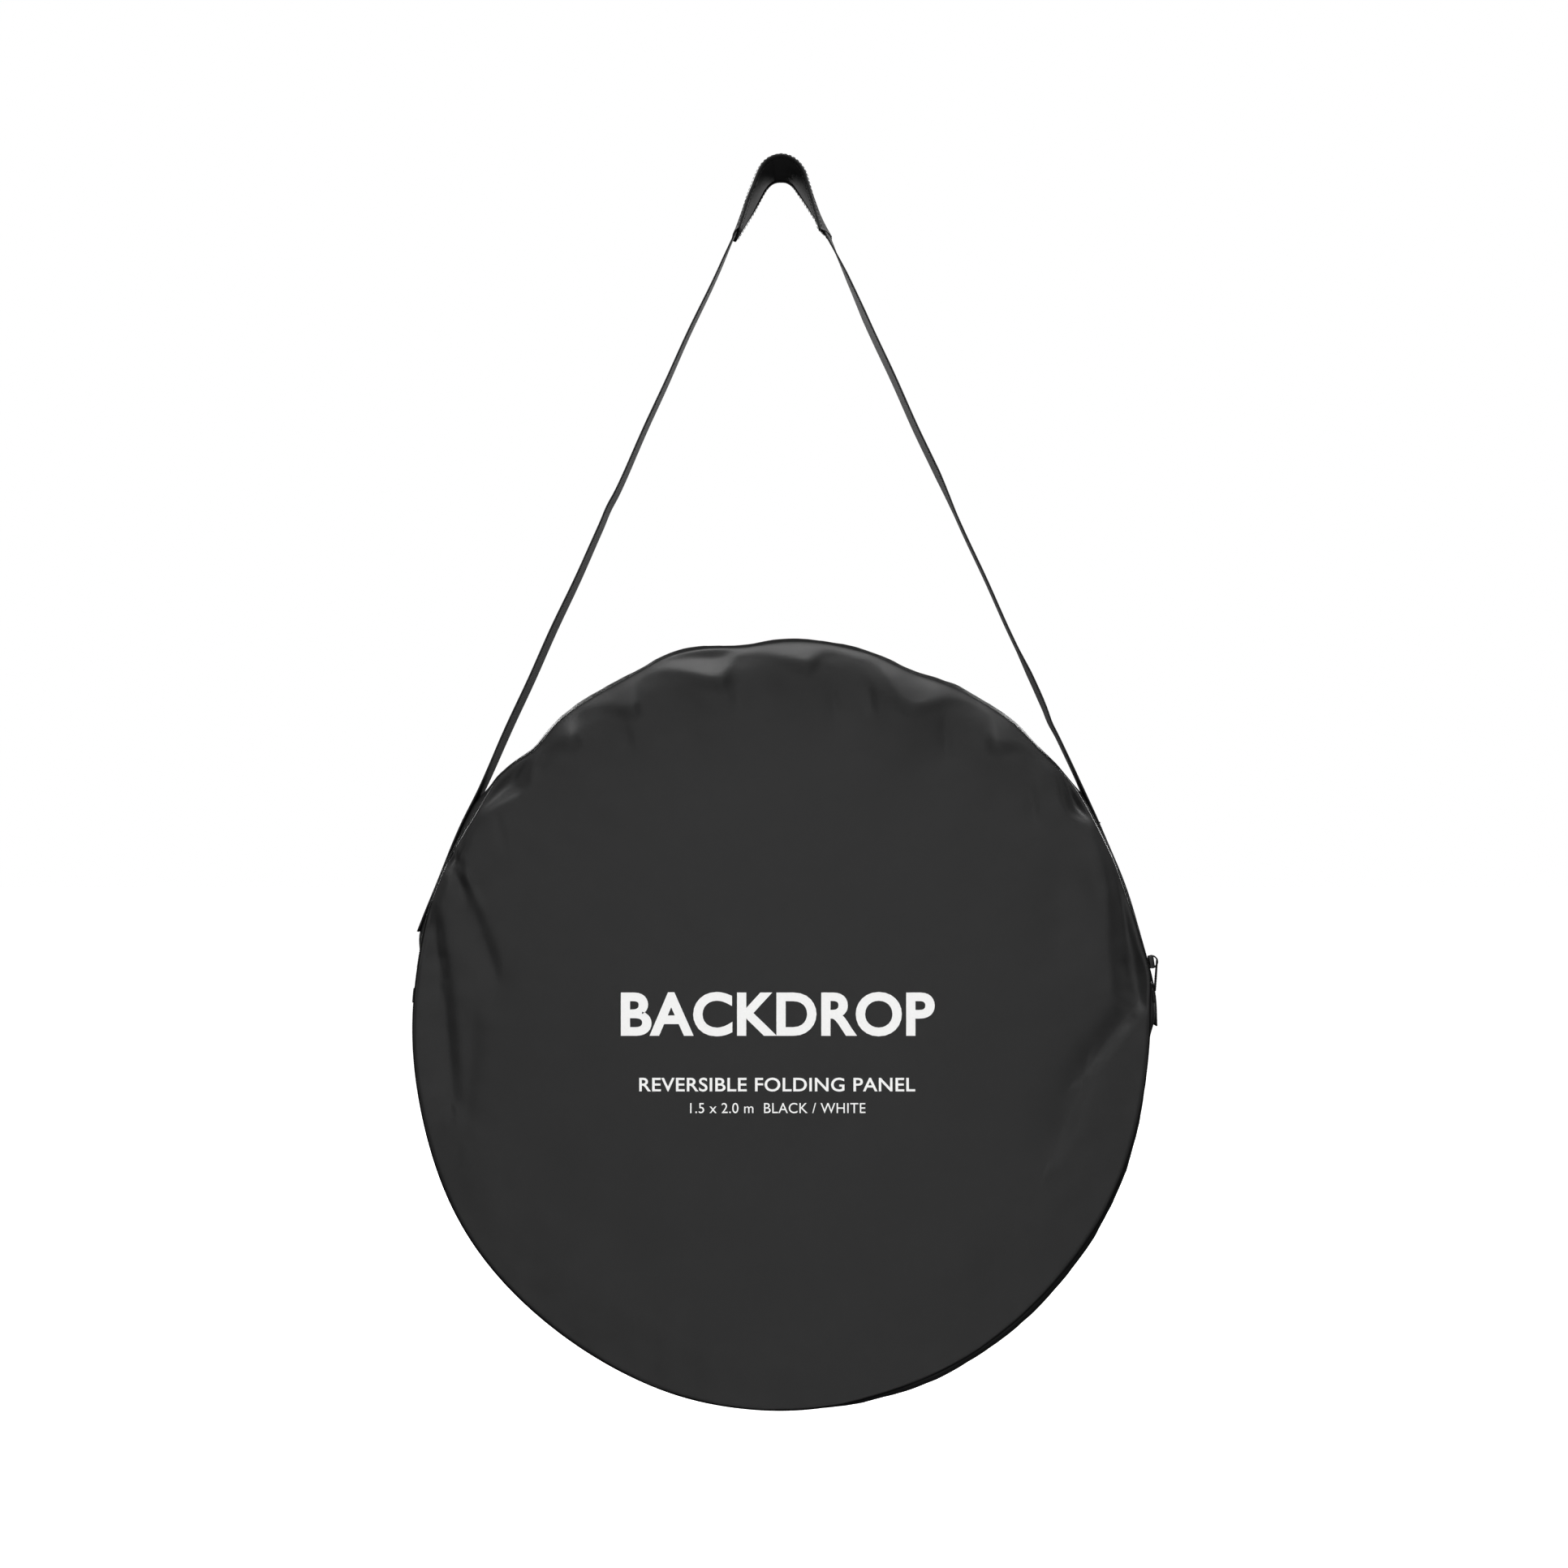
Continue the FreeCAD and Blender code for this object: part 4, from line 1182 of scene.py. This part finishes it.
bandLow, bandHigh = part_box("hoop_band")
sleeveLow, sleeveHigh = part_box("hoop_sleeve")
coil = {"turns": 3, "stagger": 0.005, "stations": 170, "sides": 14, "deep": 0.0024, "wide": 0.0052,
        "hem": 0.0055}
coil["radius"] = bandHigh.x - coil["stagger"]
coil["middle"] = (bandLow.y + bandHigh.y) / 2
coil["spread"] = sleeveHigh.y - coil["middle"] - coil["wide"]


def makeSleeve():
    count = coil["turns"] * coil["stations"]
    angle = np.arange(count) * 2 * np.pi * coil["turns"] / count
    radius = coil["radius"] + coil["stagger"] * np.cos(angle / coil["turns"])
    depth = coil["middle"] + coil["spread"] * np.sin(angle / coil["turns"])
    clock = np.degrees(angle)
    rows = []
    for side in range(coil["sides"]):
        turn = 2 * math.pi * side / coil["sides"]
        out = math.cos(turn)
        # the sewn flange points towards the bag's centre
        inward = coil["hem"] * max(0.0, -out) ** 6
        flat = 1 - 0.7 * max(0.0, -out) ** 3
        rows.append(aroundBag(clock, radius + coil["deep"] * out - inward,
                              depth + coil["wide"] * math.sin(turn) * flat * 0.98))
    points = np.array(rows)
    level = 0 * points[..., 0]
    ripple = np.stack([angle[None, :] * 0.33 + level, points[..., 1], level], axis=-1)
    around = np.sin(np.pi * np.arange(count) / count)[None, :] ** 0.25
    points = points + (rough(ripple, 70, 4.4) * 0.0005 * around)[..., None] * (
        np.stack([np.sin(angle), 0 * angle, np.cos(angle)], axis=-1)[None])
    points = np.concatenate([points, points[:1]], axis=0)
    arc = np.append(angle, 2 * np.pi * coil["turns"]) * coil["radius"]
    across = np.linspace(0, 0.026, len(points))
    lengths = np.stack(np.meshgrid(arc, across), axis=-1)
    piece = clothGrid("edgeSleeve", points, lengths, closed=True, flip=True, material=finishes["blackSheet"])
    mergeDoubles(piece, 0.000002)
    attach(piece, "bag")
    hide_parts("hoop_sleeve")


foldedCloth = {"layers": 7, "rows": 30, "columns": 44, "cut": 0.955, "billow": 0.0060}


def makeFoldedCloth(name, node, side, material):
    # one sheet folded to and fro into round layers; the outermost layer billows most
    low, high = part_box(node)
    radius = (high.x - low.x) / 2 - 0.001
    reach = radius * foldedCloth["cut"]
    layers = foldedCloth["layers"]
    first, last = (low.y, high.y) if side < 0 else (high.y, low.y)
    gap = (last - first) / (layers - 1) * 0.94
    across = np.linspace(-1, 1, foldedCloth["columns"])
    rows = []
    for layer in range(layers):
        y = first + gap * (layer + 0.2)
        way = 1 if layer % 2 == 0 else -1
        loose = foldedCloth["billow"] * (1 - layer / (layers - 1)) ** 1.6
        heights = reach * np.sin(np.linspace(-1, 1, foldedCloth["rows"]) * math.pi / 2) * way
        for height in heights:
            half = math.sqrt(radius ** 2 - height ** 2)
            level = np.full_like(across, bagZ + height)
            row = np.stack([across * half, np.full_like(across, y), level], axis=-1)
            flatEdge = np.clip((1 - np.hypot(row[:, 0], height) / radius) * 9, 0, 1)
            puff = 0.5 + 0.5 * rough(row * np.array([1, 0, 0.7]), 9, 2.0 + side) + 0.25 * rough(row, 34, 7.0)
            row[:, 1] += side * loose * np.clip(puff, 0, 1.2) * flatEdge
            rows.append(row)
        if layer < layers - 1:
            end = row.copy()
            end[:, 1] = y + gap / 2
            end[:, 2] += way * abs(gap) * 0.5
            rows.append(end)
    points = np.array(rows)
    arc = np.concatenate([[0], np.cumsum(np.linalg.norm(np.diff(points[:, 20], axis=0), axis=1))])
    lengths = np.stack([points[..., 0], np.repeat(arc[:, None], points.shape[1], axis=1)], axis=-1)
    piece = clothGrid(name, points, lengths, flip=side > 0, material=material)
    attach(piece, "bag")
    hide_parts(node)


makeSleeve()
makeFoldedCloth("blackCloth", "black_cloth", -1, finishes["blackSheet"])
makeFoldedCloth("whiteCloth", "white_cloth", 1, finishes["whiteSheet"])
print("folded panel made")


# the print: plain words, following the cloth

printLines = [
    {"words": "BACKDROP", "left": -0.150, "low": -0.011, "wide": 0.290, "tall": 0.041, "bold": 0.030},
    {"words": "REVERSIBLE FOLDING PANEL", "left": -0.133, "low": -0.062, "wide": 0.255, "tall": 0.0128,
     "bold": 0.012},
    {"words": "1.5 x 2.0 m  BLACK / WHITE", "left": -0.086, "low": -0.082, "wide": 0.162, "tall": 0.0095,
     "bold": 0.0},
]


def makePrint():
    pieces = []
    for line in printLines:
        deselectAll()
        bpy.ops.object.text_add()
        words = bpy.context.object
        words.data.body = line["words"]
        words.data.offset = line["bold"]
        words.data.extrude = 0.01
        words.data.resolution_u = 6
        words.data.space_character = 1.04
        bpy.ops.object.convert(target="MESH")
        co = np.array([v.co for v in words.data.vertices])
        low, size = co.min(0), np.ptp(co, axis=0)
        x = line["left"] + (co[:, 0] - low[0]) / size[0] * line["wide"]
        z = line["low"] + (co[:, 1] - low[1]) / size[1] * line["tall"]
        at = np.stack([x, 0 * x + frontY, z + bagZ], axis=-1)
        height = foldHeight(x, z) + billows(at)
        at[:, 1] -= height + np.where(co[:, 2] > 0, 0.00028, 0.00012)
        words.data.vertices.foreach_set("co", at.astype(np.float32).ravel())
        words.data.update()
        words.data.materials.clear()
        words.data.materials.append(finishes["ink"])
        pieces.append(words)
    piece = joinPieces(*pieces)
    piece.name = "printedWords"
    makeActive(piece)
    editAll()
    bpy.ops.mesh.normals_make_consistent(inside=False)
    bpy.ops.object.mode_set(mode="OBJECT")
    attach(piece, "bag")
    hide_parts("front_print")


makePrint()


# the CAD nodes that stay as they are get their finishes

carriedOver = {
    "hoop_band": "spring",
    "hoop_ferrule": "ferrule",
    "anchor_patches": "binding",
    "care_label": "label",
}
for node, finish in carriedOver.items():
    mesh = frame["nodes"][node].data
    mesh.materials.clear()
    mesh.materials.append(finishes[finish])
print("print and CAD finishes made")


# floor, light and camera

studio = {
    "floorZ": bagZ - 0.50,
    "cameraY": frontY - 2.300,
    "cameraZ": -0.5768,
    "cameraX": 0.00075,
    "lens": 57.15,
    "background": (1.0, 1.0, 1.0),
}
# the soft lights: name, place, aim, width, height and power
softLights = [
    ("front", (0, -3.3, -0.78), (0, 0, bagZ), 1.9, 1.6, 20),
    ("high", (0, -2.6, 3.40), (0, 0, bagZ + 0.1), 4.0, 1.2, 310),
    ("low", (0.5, -1.9, -2.7), (0.1, 0, bagZ - 0.2), 2.2, 1.0, 15),
    ("sideLeft", (-3.0, -1.0, -0.3), (0, 0, bagZ), 1.4, 1.4, 7),
    ("sideRight", (3.0, -1.0, -0.3), (0, 0, bagZ), 1.4, 1.4, 7),
    ("behindLeft", (-1.9, 2.2, 0.2), (0, 0, bagZ), 1.2, 1.2, 60),
    ("behindRight", (1.9, 2.2, 0.2), (0, 0, bagZ), 1.2, 1.2, 60),
]


def makeStudio():
    deselectAll()
    bpy.ops.mesh.primitive_plane_add(size=30, location=(0, 0, studio["floorZ"]))
    floor = bpy.context.object
    floor.name = "floor"
    material, tree, shader = newMaterial("pale_floor")
    shader.inputs["Base Color"].default_value = (0.9, 0.9, 0.9, 1)
    shader.inputs["Roughness"].default_value = 0.8
    shader.inputs["Emission Color"].default_value = (1, 1, 1, 1)
    shader.inputs["Emission Strength"].default_value = 1.0
    floor.data.materials.append(material)
    floor.visible_diffuse = False
    floor.visible_shadow = False
    floor.visible_glossy = False
    world = bpy.data.worlds.new("studio")
    bpy.context.scene.world = world
    world.use_nodes = True
    background = world.node_tree.nodes["Background"]
    background.inputs["Color"].default_value = (*studio["background"], 1)
    background.inputs["Strength"].default_value = 1.0
    world.cycles_visibility.diffuse = False
    world.cycles_visibility.glossy = False
    for name, place, aim, width, height, power in softLights:
        light = bpy.data.lights.new(name, "AREA")
        light.shape = "RECTANGLE"
        light.size, light.size_y, light.energy = width, height, power
        lamp = bpy.data.objects.new(name, light)
        lamp.location = place
        lamp.rotation_euler = (Vector(aim) - Vector(place)).to_track_quat("-Z", "Y").to_euler()
        bpy.context.scene.collection.objects.link(lamp)
    bpy.context.scene.view_settings.view_transform = "Standard"


def makeCamera():
    data = bpy.data.cameras.new("camera")
    data.lens = studio["lens"]
    data.sensor_width = 36
    data.clip_end = 50
    camera = bpy.data.objects.new("camera", data)
    camera.location = (studio["cameraX"], studio["cameraY"], studio["cameraZ"])
    camera.rotation_euler = (math.pi / 2, 0, 0)
    bpy.context.scene.collection.objects.link(camera)
    bpy.context.scene.camera = camera


makeStudio()
makeCamera()

print("studio made")
